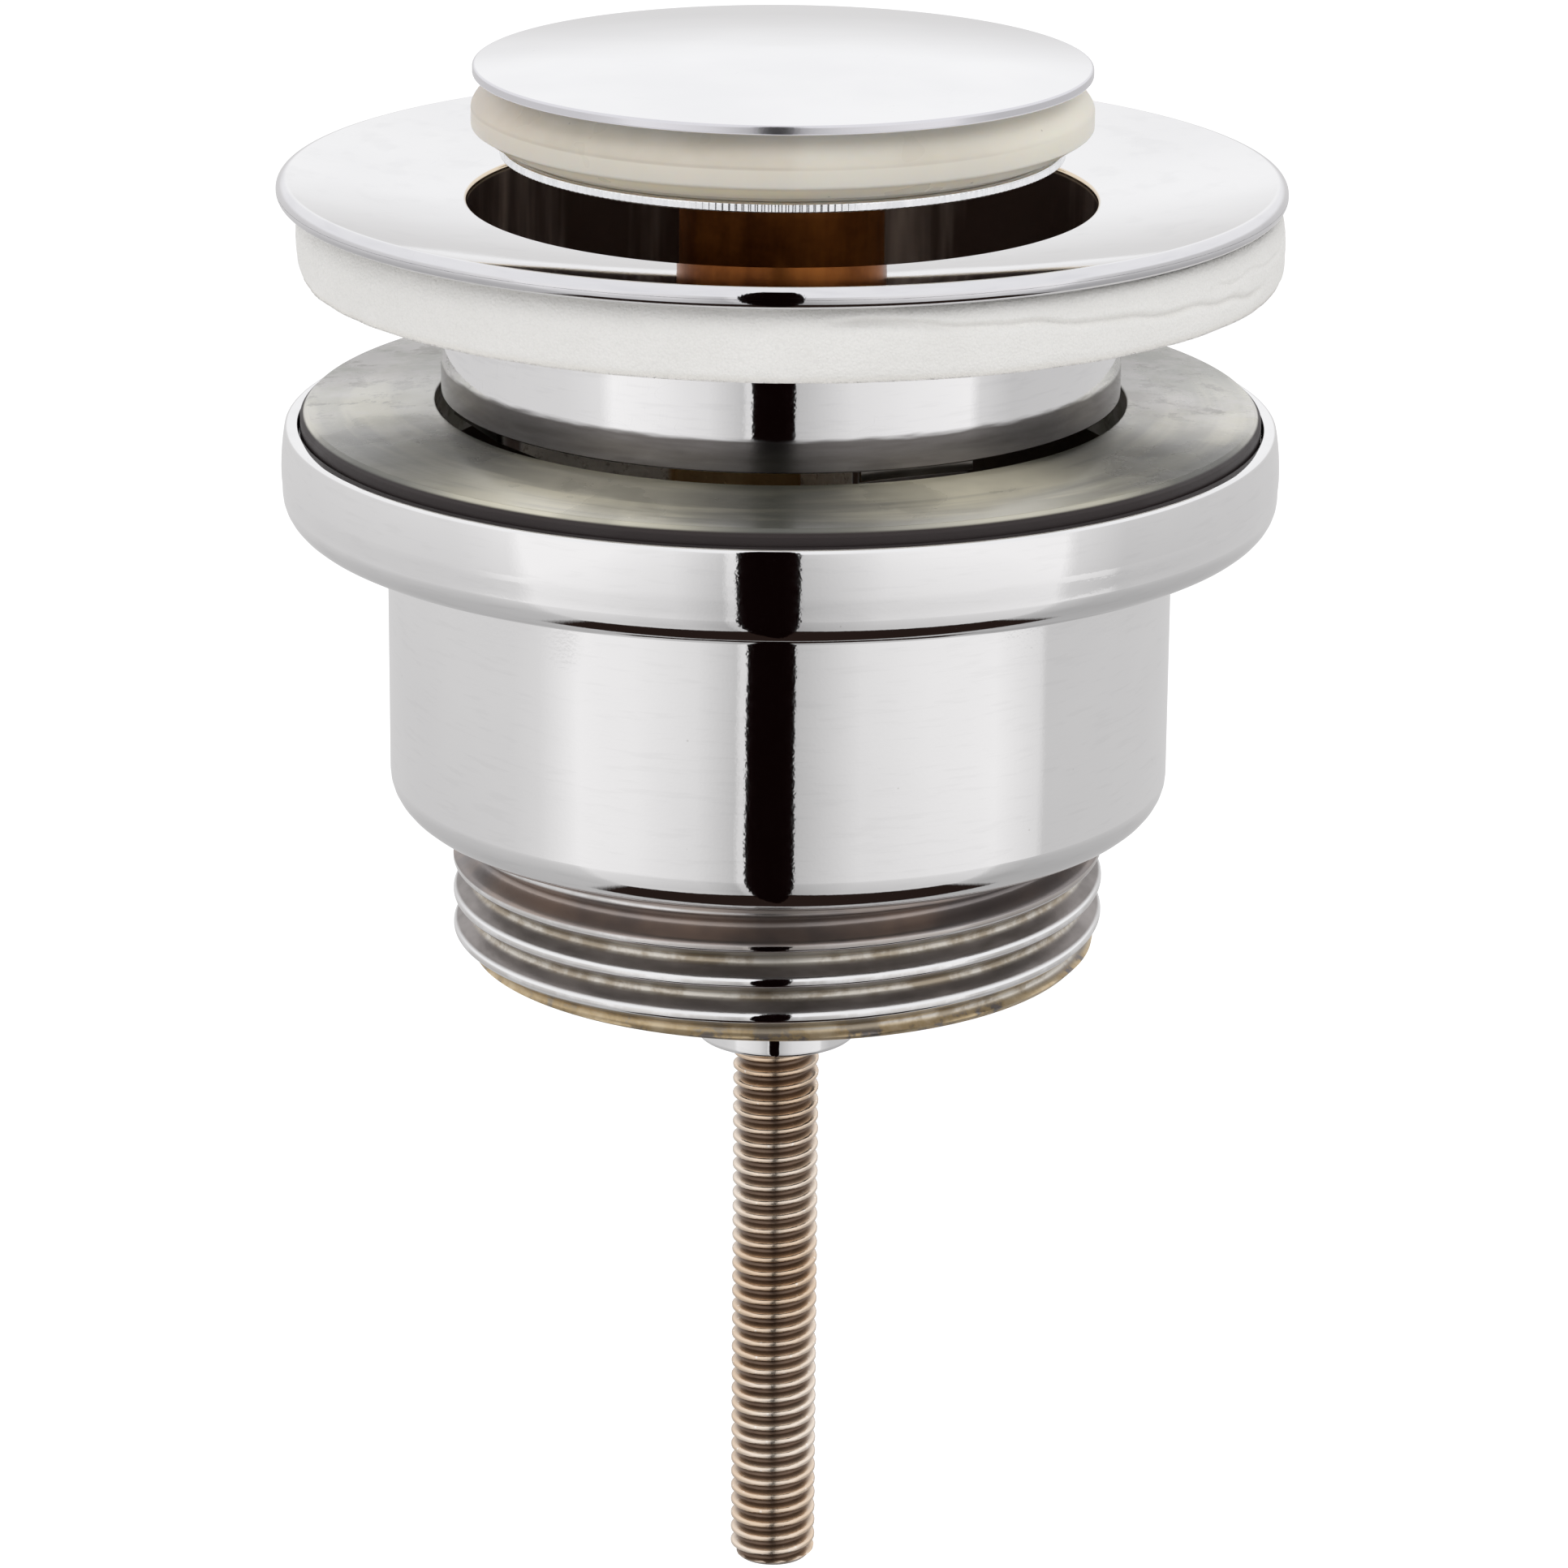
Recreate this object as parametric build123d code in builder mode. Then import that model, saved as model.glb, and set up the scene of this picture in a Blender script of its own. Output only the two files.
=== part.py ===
from build123d import *
from math import asin, atan2, cos, degrees, hypot, pi, radians, sin
import os

os.makedirs("parts", exist_ok=True)

# Frame: millimetres, +Z up along the drain's axis. Z = 0 is the face of the foam washer that lies on the basin.

# Fits and small gaps
seat_gap = 0.02            # between faces that rest on each other
running_gap = 0.05         # radial play of a turning or sliding metal fit
guide_gap = 0.10           # radial play of the sleeve over its core
thread_gap = 0.05          # radial play where a plain cylinder stands for a thread
soft_gap = 0.30            # play round a soft ring
edge_break = 0.25          # small rounding on turned edges
cut_beyond = 1.0           # how far a cut runs on past the metal

# Press-and-release travel of the plug
closed_travel = 7.0        # from open down to the latched position
over_travel = 1.2          # further push that frees the latch
travel_end_play = 0.20     # left between the sleeve and the core's base at full push

# Chromed flange with its collar
flange_radius = 31.65
flange_hole_edge_z = 4.40
flange_dish = 1.55         # the crest stands this much higher than the hole's edge
flange_dish_sag = 0.15     # the dish is hollow by this much halfway
flange_rim_thickness = 1.35
flange_plate_thickness = 1.30
flange_rim_rounding = 0.62
collar_radius = 21.45
collar_wall = 1.70
collar_reach = 7.90        # below the basin's face
collar_fillet = 0.80

# Bridge inside the collar that carries the boss
arm_count = 4
arm_first_angle = -66.4    # degrees from +X, so that one arm stands right of the front
arm_outer_width = 7.6
arm_inner_width = 4.4
arm_outer_top_z = -4.0
arm_drop = 4.6             # height of an arm where it meets the collar
arm_inner_top_z = -9.0
arm_inner_height = 6.0
arm_sink = 0.9             # how far an arm's root lies in the collar wall
boss_wall = 1.85
boss_foot_inset = 1.1
boss_taper_height = 10.0
boss_top_z = -5.5
boss_rounding = 0.8
boss_floor = 2.45

# Foam washer under the flange
foam_inset = 0.75          # inside the flange's rim
foam_bulge = 0.15
foam_relief = 0.64         # cut off its upper inner edge, beside the collar's fillet

# Plug: cap, seal and the disc that holds the seal
disc_top_z = 7.80
disc_thickness = 0.60
disc_inset = 1.80          # inside the seal's lip
cap_play = 0.40            # between the cap and the flange's bore
cap_edge_height = 0.60
cap_dome_rise = 1.05
cap_rounding = 0.15        # of its edge, above and below
cap_skirt_inset = 5.35     # inside the cap's edge
cap_skirt_wall = 1.6
cap_boss_radius = 4.2
spigot_radius = 2.45
spigot_reach = 3.6         # below the retaining disc
seal_height = 4.45
seal_lip_play = 0.25       # between the seal's lip and the flange's bore
seal_lip_rise = 1.82       # of the lip's middle above the disc
seal_lip_height = 1.10
seal_top_inset = 1.20      # inside the cap's edge
seal_foot_inset = 0.40     # inside the disc's edge
seal_foot_step = 0.35      # height of the foot, and how far the step stands out past the disc
seal_waist_out = 0.58      # a point of the flared wall, outwards and down from its top
seal_waist_drop = 0.95
seal_top_lean = 0.15       # sideways part of the wall's direction at its top
seal_lip_lean = 0.25       # and where it meets the lip

# Push sleeve that rides on the latch core
sleeve_radius = 6.45
sleeve_wall = 1.40
sleeve_top_wall = 2.5
sleeve_ring_cover = 0.60   # wall left outside the latch ring
sleeve_clip_cover = 0.35   # wall left outside the clip
sleeve_lip = 0.55          # wall left below the clip's groove
ring_height = 1.8
ring_centre_z = -7.2
clip_thickness = 0.5
clip_bore_play = 0.25      # between the clip and the core
clip_opening = 1.6

# Latch core with its zigzag track
core_wall = 1.65
core_top_play = 0.40
core_base_height = 3.0
core_base_step = 0.25      # the base is this much smaller in radius than the boss's bore
core_floor = 1.2           # solid metal between the spring's pocket and the base
track_depth = 0.85
track_play = 0.10          # beside a pin in the track
track_repeats = 4
pin_radius = 0.50
pin_tip_play = 0.20        # between a pin's tip and the track's floor
pin_sink = 0.10            # of a pin's outer end below the ring's face
o_ring_thickness = 1.0

# Spring in the core
wire_radius = 0.30
coil_play = 0.12           # between the coil and the core's pocket
coil_turns = 9

# Clamp screw
screw_radius = 2.80
screw_head_shoulder = 2.10
screw_head_height = 2.50
screw_length = 64.90       # below the head
screw_chamfer = 0.45
socket_across_flats = 4.0
socket_depth = 1.7
head_play = 0.30           # between the core's base and the screw head
recess_play = 0.70         # beside the screw head
washer_thickness = 0.60
washer_play = 0.20         # round the screw

# Lower body: rim, cup, threaded outlet, hub
outlet_thread_radius = 20.955
outlet_wall = 2.755
outlet_length = 9.56       # below the cup
outlet_chamfer = 1.05
cup_step = 3.975           # from the outlet thread out to the cup
cup_wall = 1.93
cup_height = 19.0          # below the rim
cup_corner = 2.4
cup_floor_thickness = 1.9
cup_inner_corner = 1.5
rim_overhang = 6.65        # from the cup out to the rim's widest place
rim_top_inset = 0.28
rim_foot_inset = 0.13      # where the rim's lower corner begins
rim_land = 0.80            # width of the edge round the gasket
rim_top_z = -9.92
rim_height = 6.18
rim_bulge_drop = 2.88      # from the rim's top to its widest place
rim_corner = 1.9
rim_fillet = 0.5           # between the rim's underside and the cup
ledge_depth = 3.48         # of the gasket's seat below the rim's top
hub_wall = 2.40
hub_reach = 6.59           # below the outlet's end
hub_end_rounding = 1.5
hub_top_rounding = 0.8
spoke_count = 4
spoke_first_angle = 0.0
spoke_width = 3.2
spoke_drop = 1.1           # of the spokes' inner ends below the cup
spoke_height = 5.6
spoke_slope = 1.1          # the spokes stand this much higher at the bore than at the hub
spoke_sink = 0.6           # of the spokes' outer ends in the outlet's wall
spoke_root = 1.0           # of their inner ends in the hub
spoke_rounding = 0.9

# Gasket in the rim
gasket_play = 0.15         # inside the rim
gasket_collar_play = 0.65  # round the collar
gasket_inner_rise = 1.50   # above the rim's top
gasket_outer_rise = 0.97
gasket_bevel = 0.25
gasket_foot_inset = 0.6

# Travel of the lower body on the clamp screw
clamp_up = 8.1
hub_head_room = 0.6        # left between the hub and the boss when the body is right up

# Radii that follow from the values above
flange_bore_radius = collar_radius - collar_wall
foam_radius = flange_radius - foam_inset
foam_bore_radius = collar_radius + soft_gap
cap_radius = flange_bore_radius - cap_play
cap_skirt_radius = cap_radius - cap_skirt_inset
seal_lip_radius = flange_bore_radius - seal_lip_play
disc_radius = seal_lip_radius - disc_inset
seal_top_radius = cap_radius - seal_top_inset
seal_foot_radius = disc_radius - seal_foot_inset
seal_bore_radius = cap_skirt_radius + running_gap
sleeve_bore_radius = sleeve_radius - sleeve_wall
ring_wall_radius = sleeve_radius - sleeve_ring_cover
clip_radius = sleeve_radius - sleeve_clip_cover
core_radius = sleeve_bore_radius - guide_gap
core_bore_radius = core_radius - core_wall
clip_bore_radius = core_radius + clip_bore_play
coil_radius = core_bore_radius - wire_radius - coil_play
track_width = 2 * (pin_radius + track_play)
pin_tip_radius = core_radius - track_depth + pin_tip_play
boss_bore_radius = sleeve_radius + soft_gap
boss_radius = boss_bore_radius + boss_wall
boss_foot_radius = boss_radius - boss_foot_inset
core_base_radius = boss_bore_radius - core_base_step
screw_head_radius = screw_radius + screw_head_shoulder
head_recess_radius = screw_head_radius + recess_play
washer_radius = head_recess_radius - soft_gap
outlet_bore_radius = outlet_thread_radius - outlet_wall
cup_radius = outlet_thread_radius + cup_step
cup_inner_radius = cup_radius - cup_wall
rim_radius = cup_radius + rim_overhang
rim_top_radius = rim_radius - rim_top_inset
rim_foot_radius = rim_radius - rim_foot_inset
rim_inner_radius = rim_top_radius - rim_land
gasket_radius = rim_inner_radius - gasket_play
gasket_bore_radius = collar_radius + gasket_collar_play
hub_radius = screw_radius + hub_wall

# Heights that follow from the values above
stroke = closed_travel + over_travel
flange_crest_z = flange_hole_edge_z + flange_dish
dish_middle_radius = (flange_bore_radius + flange_radius) / 2
dish_middle_z = (flange_hole_edge_z + flange_crest_z) / 2 - flange_dish_sag
rim_low_z = flange_crest_z - flange_rim_thickness
plate_low_z = flange_hole_edge_z - flange_plate_thickness
collar_bottom_z = -collar_reach
disc_bottom_z = disc_top_z - disc_thickness
seal_lip_z = disc_top_z + seal_lip_rise
cap_edge_z = disc_top_z + seal_height
cap_crown_z = cap_edge_z + cap_edge_height
cap_apex_z = cap_crown_z + cap_dome_rise
spigot_end_z = disc_bottom_z - spigot_reach
skirt_foot_z = disc_top_z + seat_gap
sleeve_top_z = disc_bottom_z - seat_gap
sleeve_ceiling_z = sleeve_top_z - sleeve_top_wall
ring_top_z = ring_centre_z + ring_height / 2
ring_bottom_z = ring_centre_z - ring_height / 2
clip_top_z = ring_bottom_z - running_gap
clip_bottom_z = clip_top_z - clip_thickness
sleeve_bottom_z = clip_bottom_z - sleeve_lip
core_top_z = sleeve_ceiling_z - stroke - core_top_play
core_base_top_z = sleeve_bottom_z - stroke - travel_end_play
core_base_bottom_z = core_base_top_z - core_base_height
core_pocket_z = core_base_top_z + core_floor
head_top_z = core_base_bottom_z - head_play
head_bottom_z = head_top_z - screw_head_height
screw_end_z = head_bottom_z - screw_length
washer_top_z = head_bottom_z - seat_gap
washer_bottom_z = washer_top_z - washer_thickness
recess_floor_z = washer_bottom_z - seat_gap
boss_bottom_z = recess_floor_z - boss_floor
boss_taper_z = boss_bottom_z + boss_taper_height
rim_bulge_z = rim_top_z - rim_bulge_drop
rim_underside_z = rim_top_z - rim_height
ledge_z = rim_top_z - ledge_depth
gasket_inner_top_z = rim_top_z + gasket_inner_rise
gasket_outer_top_z = rim_top_z + gasket_outer_rise
cup_bottom_z = rim_underside_z - cup_height
cup_floor_z = cup_bottom_z + cup_floor_thickness
outlet_end_z = cup_bottom_z - outlet_length
hub_end_z = outlet_end_z - hub_reach
hub_top_z = boss_bottom_z - clamp_up - hub_head_room
spoke_top_z = cup_bottom_z - spoke_drop


def corner(sketch, radius, height):
    """The vertex of a half section that lies nearest to a radius and a height."""
    return sketch.vertices().sort_by_distance((radius, height, 0))[0]


# Flange: one casting of dished plate, collar, bridge arms and boss
with BuildPart() as bridge_arms:
    with BuildSketch(Plane.XZ):
        with BuildLine():
            Polyline(
                (boss_radius - arm_sink, arm_inner_top_z),
                (flange_bore_radius + arm_sink, arm_outer_top_z),
                (flange_bore_radius + arm_sink, arm_outer_top_z - arm_drop),
                (boss_radius - arm_sink, arm_inner_top_z - arm_inner_height),
                close=True,
            )
        make_face()
    revolve(axis=Axis.Z)
    with BuildSketch(Plane.XY.offset(boss_bottom_z)):
        with PolarLocations(0, arm_count, start_angle=arm_first_angle):
            Polygon(
                (boss_radius - 2 * arm_sink, -arm_inner_width / 2),
                (collar_radius, -arm_outer_width / 2),
                (collar_radius, arm_outer_width / 2),
                (boss_radius - 2 * arm_sink, arm_inner_width / 2),
                align=None,
            )
    extrude(amount=-boss_bottom_z, mode=Mode.INTERSECT)

with BuildPart() as flange:
    with BuildSketch(Plane.XZ) as flange_section:
        with BuildLine():
            Polyline(
                (flange_radius, flange_crest_z),
                (flange_radius, rim_low_z),
                (collar_radius, plate_low_z),
                (collar_radius, collar_bottom_z),
                (flange_bore_radius, collar_bottom_z),
                (flange_bore_radius, flange_hole_edge_z),
            )
            ThreePointArc(
                (flange_bore_radius, flange_hole_edge_z),
                (dish_middle_radius, dish_middle_z),
                (flange_radius, flange_crest_z),
            )
        make_face()
        fillet(corner(flange_section, flange_radius, flange_crest_z), flange_rim_rounding)
        fillet(corner(flange_section, flange_radius, rim_low_z), flange_rim_rounding)
        fillet(corner(flange_section, collar_radius, plate_low_z), collar_fillet)
        fillet(corner(flange_section, flange_bore_radius, flange_hole_edge_z), edge_break)
    revolve(axis=Axis.Z)
    with BuildSketch(Plane.XZ) as boss_section:
        with BuildLine():
            Polyline(
                (0, boss_top_z),
                (boss_radius, boss_top_z),
                (boss_radius, boss_taper_z),
                (boss_foot_radius, boss_bottom_z),
                (0, boss_bottom_z),
                close=True,
            )
        make_face()
        fillet(corner(boss_section, boss_foot_radius, boss_bottom_z), boss_rounding)
        fillet(corner(boss_section, boss_radius, boss_top_z), edge_break)
    revolve(axis=Axis.Z)
    add(bridge_arms.part)
    with BuildSketch(Plane.XZ):
        with BuildLine():
            Polyline(
                (0, boss_top_z + cut_beyond),
                (boss_bore_radius, boss_top_z + cut_beyond),
                (boss_bore_radius, core_base_top_z),
                (core_base_radius + thread_gap, core_base_top_z),
                (core_base_radius + thread_gap, core_base_bottom_z),
                (head_recess_radius, core_base_bottom_z),
                (head_recess_radius, recess_floor_z),
                (screw_radius + running_gap, recess_floor_z),
                (screw_radius + running_gap, boss_bottom_z - cut_beyond),
                (0, boss_bottom_z - cut_beyond),
                close=True,
            )
        make_face()
    revolve(axis=Axis.Z, mode=Mode.SUBTRACT)
flange.part.label = "flange"
export_step(flange.part, "parts/flange.step")

# Foam washer between the flange and the basin, crowned by the cone of the flange's underside
cone_slope = (rim_low_z - plate_low_z) / (flange_radius - collar_radius)
foam_inner_top_z = plate_low_z + cone_slope * (foam_bore_radius - collar_radius) - seat_gap
foam_outer_top_z = plate_low_z + cone_slope * (foam_radius - collar_radius) - seat_gap

with BuildPart() as foam_washer:
    with BuildSketch(Plane.XZ):
        with BuildLine():
            Polyline(
                (foam_radius, foam_outer_top_z),
                (foam_bore_radius + foam_relief, foam_inner_top_z + cone_slope * foam_relief),
                (foam_bore_radius, foam_inner_top_z - foam_relief),
                (foam_bore_radius, 0),
                (foam_radius, 0),
            )
            ThreePointArc(
                (foam_radius, 0),
                (foam_radius + foam_bulge, foam_outer_top_z / 2),
                (foam_radius, foam_outer_top_z),
            )
        make_face()
    revolve(axis=Axis.Z)
foam_washer.part.label = "foam_washer"
export_step(foam_washer.part, "parts/foam_washer.step")

# Plug cap: domed disc, hollow skirt for the seal, centre boss and threaded spigot
dome_radius = (cap_radius ** 2 + cap_dome_rise ** 2) / (2 * cap_dome_rise)
dome_half_angle = asin(cap_radius / dome_radius) / 2

with BuildPart() as plug_cap:
    with BuildSketch(Plane.XZ) as cap_section:
        with BuildLine():
            Polyline(
                (0, cap_apex_z),
                (0, spigot_end_z),
                (spigot_radius, spigot_end_z),
                (spigot_radius, skirt_foot_z),
                (cap_boss_radius, skirt_foot_z),
                (cap_boss_radius, cap_edge_z),
                (cap_skirt_radius - cap_skirt_wall, cap_edge_z),
                (cap_skirt_radius - cap_skirt_wall, skirt_foot_z),
                (cap_skirt_radius, skirt_foot_z),
                (cap_skirt_radius, cap_edge_z),
                (cap_radius, cap_edge_z),
                (cap_radius, cap_crown_z),
            )
            ThreePointArc(
                (cap_radius, cap_crown_z),
                (dome_radius * sin(dome_half_angle), cap_apex_z - dome_radius * (1 - cos(dome_half_angle))),
                (0, cap_apex_z),
            )
        make_face()
        fillet(corner(cap_section, cap_radius, cap_crown_z), cap_rounding)
        fillet(corner(cap_section, cap_radius, cap_edge_z), cap_rounding)
        chamfer(corner(cap_section, spigot_radius, spigot_end_z), edge_break)
    revolve(axis=Axis.Z)
plug_cap.part.label = "plug_cap"
export_step(plug_cap.part, "parts/plug_cap.step")

# Silicone seal round the cap's skirt: flared upper wall, lip, stepped foot
seal_top_z = cap_edge_z - seat_gap
seal_foot_z = disc_top_z + seat_gap
lip_low_z = seal_lip_z - seal_lip_height / 2
lip_high_z = seal_lip_z + seal_lip_height / 2
seal_step_z = seal_foot_z + seal_foot_step
seal_step_radius = disc_radius + seal_foot_step

with BuildPart() as plug_seal:
    with BuildSketch(Plane.XZ) as seal_section:
        with BuildLine():
            Line((seal_bore_radius, seal_top_z), (seal_top_radius, seal_top_z))
            Spline(
                (seal_top_radius, seal_top_z),
                (seal_top_radius + seal_waist_out, seal_top_z - seal_waist_drop),
                (seal_lip_radius, lip_high_z),
                tangents=((seal_top_lean, -1), (seal_lip_lean, -1)),
            )
            Line((seal_lip_radius, lip_high_z), (seal_lip_radius, lip_low_z))
            Line((seal_lip_radius, lip_low_z), (seal_step_radius, seal_step_z))
            Line((seal_step_radius, seal_step_z), (seal_foot_radius, seal_step_z))
            Line((seal_foot_radius, seal_step_z), (seal_foot_radius, seal_foot_z))
            Line((seal_foot_radius, seal_foot_z), (seal_bore_radius, seal_foot_z))
            Line((seal_bore_radius, seal_foot_z), (seal_bore_radius, seal_top_z))
        make_face()
        fillet(corner(seal_section, seal_lip_radius, lip_low_z), edge_break)
    revolve(axis=Axis.Z)
plug_seal.part.label = "plug_seal"
export_step(plug_seal.part, "parts/plug_seal.step")

# Disc that holds the seal, clamped between the cap's skirt and the sleeve
with BuildPart() as retaining_disc:
    with BuildSketch(Plane.XY.offset(disc_bottom_z)):
        Circle(disc_radius)
        Circle(spigot_radius + thread_gap, mode=Mode.SUBTRACT)
    extrude(amount=disc_thickness)
retaining_disc.part.label = "retaining_disc"
export_step(retaining_disc.part, "parts/retaining_disc.step")

# Push sleeve: brass cup screwed on the spigot, sliding over the latch core
with BuildPart() as push_sleeve:
    with BuildSketch(Plane.XZ) as sleeve_section:
        with BuildLine():
            Polyline(
                (spigot_radius + thread_gap, sleeve_top_z),
                (sleeve_radius, sleeve_top_z),
                (sleeve_radius, sleeve_bottom_z),
                (ring_wall_radius + running_gap, sleeve_bottom_z),
                (ring_wall_radius + running_gap, clip_bottom_z - seat_gap),
                (clip_radius + seat_gap, clip_bottom_z - seat_gap),
                (clip_radius + seat_gap, clip_top_z + seat_gap),
                (ring_wall_radius + running_gap, clip_top_z + seat_gap),
                (ring_wall_radius + running_gap, ring_top_z + running_gap),
                (sleeve_bore_radius, ring_top_z + running_gap),
                (sleeve_bore_radius, sleeve_ceiling_z),
                (spigot_radius + thread_gap, sleeve_ceiling_z),
                close=True,
            )
        make_face()
        chamfer(corner(sleeve_section, sleeve_radius, sleeve_top_z), edge_break)
        chamfer(corner(sleeve_section, sleeve_radius, sleeve_bottom_z), edge_break)
    revolve(axis=Axis.Z)
push_sleeve.part.label = "push_sleeve"
export_step(push_sleeve.part, "parts/push_sleeve.step")

# Open snap ring that keeps the latch ring in the sleeve
with BuildPart() as sleeve_clip:
    with BuildSketch(Plane.XY.offset(clip_bottom_z)):
        Circle(clip_radius)
        Circle(clip_bore_radius, mode=Mode.SUBTRACT)
        with Locations((clip_radius, 0)):
            Rectangle(clip_radius, clip_opening, mode=Mode.SUBTRACT)
    extrude(amount=clip_thickness)
sleeve_clip.part.label = "sleeve_clip"
export_step(sleeve_clip.part, "parts/sleeve_clip.step")

# Latch ring that turns in the sleeve, and the pins that run in the core's track
with BuildPart() as latch_ring:
    with BuildSketch(Plane.XY.offset(ring_bottom_z)):
        Circle(ring_wall_radius)
        Circle(sleeve_bore_radius, mode=Mode.SUBTRACT)
    extrude(amount=ring_height)
    with BuildSketch(Plane.XZ.offset(-ring_wall_radius - cut_beyond)):
        with Locations((0, ring_centre_z)):
            Circle(pin_radius + seat_gap)
    extrude(amount=2 * (ring_wall_radius + cut_beyond), mode=Mode.SUBTRACT)
    with BuildSketch(Plane.YZ.offset(-ring_wall_radius - cut_beyond)):
        with Locations((0, ring_centre_z)):
            Circle(pin_radius + seat_gap)
    extrude(amount=2 * (ring_wall_radius + cut_beyond), mode=Mode.SUBTRACT)
latch_ring.part.label = "latch_ring"
export_step(latch_ring.part, "parts/latch_ring.step")

with BuildPart() as latch_pins:
    for turn in range(track_repeats):
        angle = radians(turn * 360 / track_repeats)
        outward = Vector(cos(angle), sin(angle), 0)
        foot = Vector(0, 0, ring_centre_z) + outward * pin_tip_radius
        with BuildSketch(Plane(origin=foot, x_dir=(0, 0, 1), z_dir=outward)):
            Circle(pin_radius)
        extrude(amount=ring_wall_radius - pin_sink - pin_tip_radius)
latch_pins.part.label = "latch_pins"
export_step(latch_pins.part, "parts/latch_pins.step")

# Latch core: post with a spring pocket and the zigzag track cut round it
step_angle = 360 / track_repeats / 4
track_top_z = ring_centre_z
track_low_z = ring_centre_z - stroke
track_hold_z = ring_centre_z - closed_travel
track_heights = (track_top_z, track_low_z, track_hold_z, track_low_z, track_top_z)

with BuildPart() as latch_core:
    with BuildSketch(Plane.XZ) as core_section:
        with BuildLine():
            Polyline(
                (core_bore_radius, core_top_z),
                (core_radius, core_top_z),
                (core_radius, core_base_top_z),
                (core_base_radius, core_base_top_z),
                (core_base_radius, core_base_bottom_z),
                (0, core_base_bottom_z),
                (0, core_pocket_z),
                (core_bore_radius, core_pocket_z),
                close=True,
            )
        make_face()
        chamfer(corner(core_section, core_radius, core_top_z), edge_break)
        chamfer(corner(core_section, core_base_radius, core_base_bottom_z), edge_break)
    revolve(axis=Axis.Z)
    chord = 2 * core_radius * sin(radians(step_angle / 2))
    for repeat in range(track_repeats):
        for leg in range(4):
            middle = radians(repeat * 360 / track_repeats + (leg + 0.5) * step_angle)
            outward = Vector(cos(middle), sin(middle), 0)
            rise = track_heights[leg + 1] - track_heights[leg]
            centre = Vector(0, 0, (track_heights[leg] + track_heights[leg + 1]) / 2)
            leg_plane = Plane(
                origin=centre + outward * (core_radius + cut_beyond),
                x_dir=(-sin(middle), cos(middle), 0),
                z_dir=outward,
            )
            with BuildSketch(leg_plane):
                SlotCenterToCenter(hypot(chord, rise), track_width, rotation=degrees(atan2(rise, chord)))
            extrude(amount=-(track_depth + cut_beyond), mode=Mode.SUBTRACT)
    with BuildSketch(Plane.XZ):
        with Locations((core_base_radius, core_base_top_z - core_base_height / 2)):
            Rectangle(2 * o_ring_thickness, o_ring_thickness + 2 * seat_gap)
    revolve(axis=Axis.Z, mode=Mode.SUBTRACT)
latch_core.part.label = "latch_core"
export_step(latch_core.part, "parts/latch_core.step")

with BuildPart() as core_o_ring:
    with BuildSketch(Plane.XZ):
        with Locations((core_base_radius - o_ring_thickness / 2, core_base_top_z - core_base_height / 2)):
            Circle(o_ring_thickness / 2 - seat_gap)
    revolve(axis=Axis.Z)
core_o_ring.part.label = "core_o_ring"
export_step(core_o_ring.part, "parts/core_o_ring.step")

# Latch spring between the core's pocket and the sleeve's ceiling
spring_low_z = core_pocket_z + wire_radius + seat_gap
spring_high_z = sleeve_ceiling_z - wire_radius - seat_gap
spring_length = spring_high_z - spring_low_z

with BuildPart() as latch_spring:
    with BuildLine():
        Helix(
            pitch=spring_length / coil_turns,
            height=spring_length,
            radius=coil_radius,
            center=(0, 0, spring_low_z),
        )
    with BuildSketch(Plane(origin=(coil_radius, 0, spring_low_z), z_dir=(0, 1, 0))):
        Circle(wire_radius)
    sweep(is_frenet=True)
latch_spring.part.label = "latch_spring"
export_step(latch_spring.part, "parts/latch_spring.step")

# Clamp screw: socket head under the core, shank down through the boss and the hub
with BuildPart() as clamp_screw:
    with BuildSketch(Plane.XY.offset(head_bottom_z)):
        Circle(screw_head_radius)
    extrude(amount=screw_head_height)
    with BuildSketch(Plane.XY.offset(screw_end_z)):
        Circle(screw_radius)
    extrude(amount=head_bottom_z - screw_end_z)
    chamfer(clamp_screw.faces().sort_by(Axis.Z)[0].edges(), screw_chamfer)
    chamfer(clamp_screw.faces().sort_by(Axis.Z)[-1].edges(), edge_break)
    with BuildSketch(Plane.XY.offset(head_top_z)):
        RegularPolygon(socket_across_flats / 2, 6, major_radius=False)
    extrude(amount=-socket_depth, mode=Mode.SUBTRACT)
clamp_screw.part.label = "clamp_screw"
export_step(clamp_screw.part, "parts/clamp_screw.step")

with BuildPart() as screw_washer:
    with BuildSketch(Plane.XY.offset(washer_bottom_z)):
        Circle(washer_radius)
        Circle(screw_radius + washer_play, mode=Mode.SUBTRACT)
    extrude(amount=washer_thickness)
screw_washer.part.label = "screw_washer"
export_step(screw_washer.part, "parts/screw_washer.step")

# Lower body: one casting of rim, cup, threaded outlet, spokes and hub
with BuildPart() as spokes:
    for index in range(spoke_count):
        angle = radians(spoke_first_angle + index * 360 / spoke_count)
        spoke_plane = Plane(
            origin=(0, 0, 0),
            x_dir=(cos(angle), sin(angle), 0),
            z_dir=(sin(angle), -cos(angle), 0),
        )
        with BuildSketch(spoke_plane):
            with BuildLine():
                Polyline(
                    (hub_radius - spoke_root, spoke_top_z),
                    (outlet_bore_radius + spoke_sink, spoke_top_z + spoke_slope),
                    (outlet_bore_radius + spoke_sink, spoke_top_z + spoke_slope - spoke_height),
                    (hub_radius - spoke_root, spoke_top_z - spoke_height),
                    close=True,
                )
            make_face()
        extrude(amount=spoke_width / 2, both=True)
    spoke_tops = spokes.faces().filter_by(lambda face: face.normal_at().Z > 0.9)
    fillet(spoke_tops.edges().filter_by(lambda edge: edge.length > 2 * spoke_width), spoke_rounding)

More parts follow.
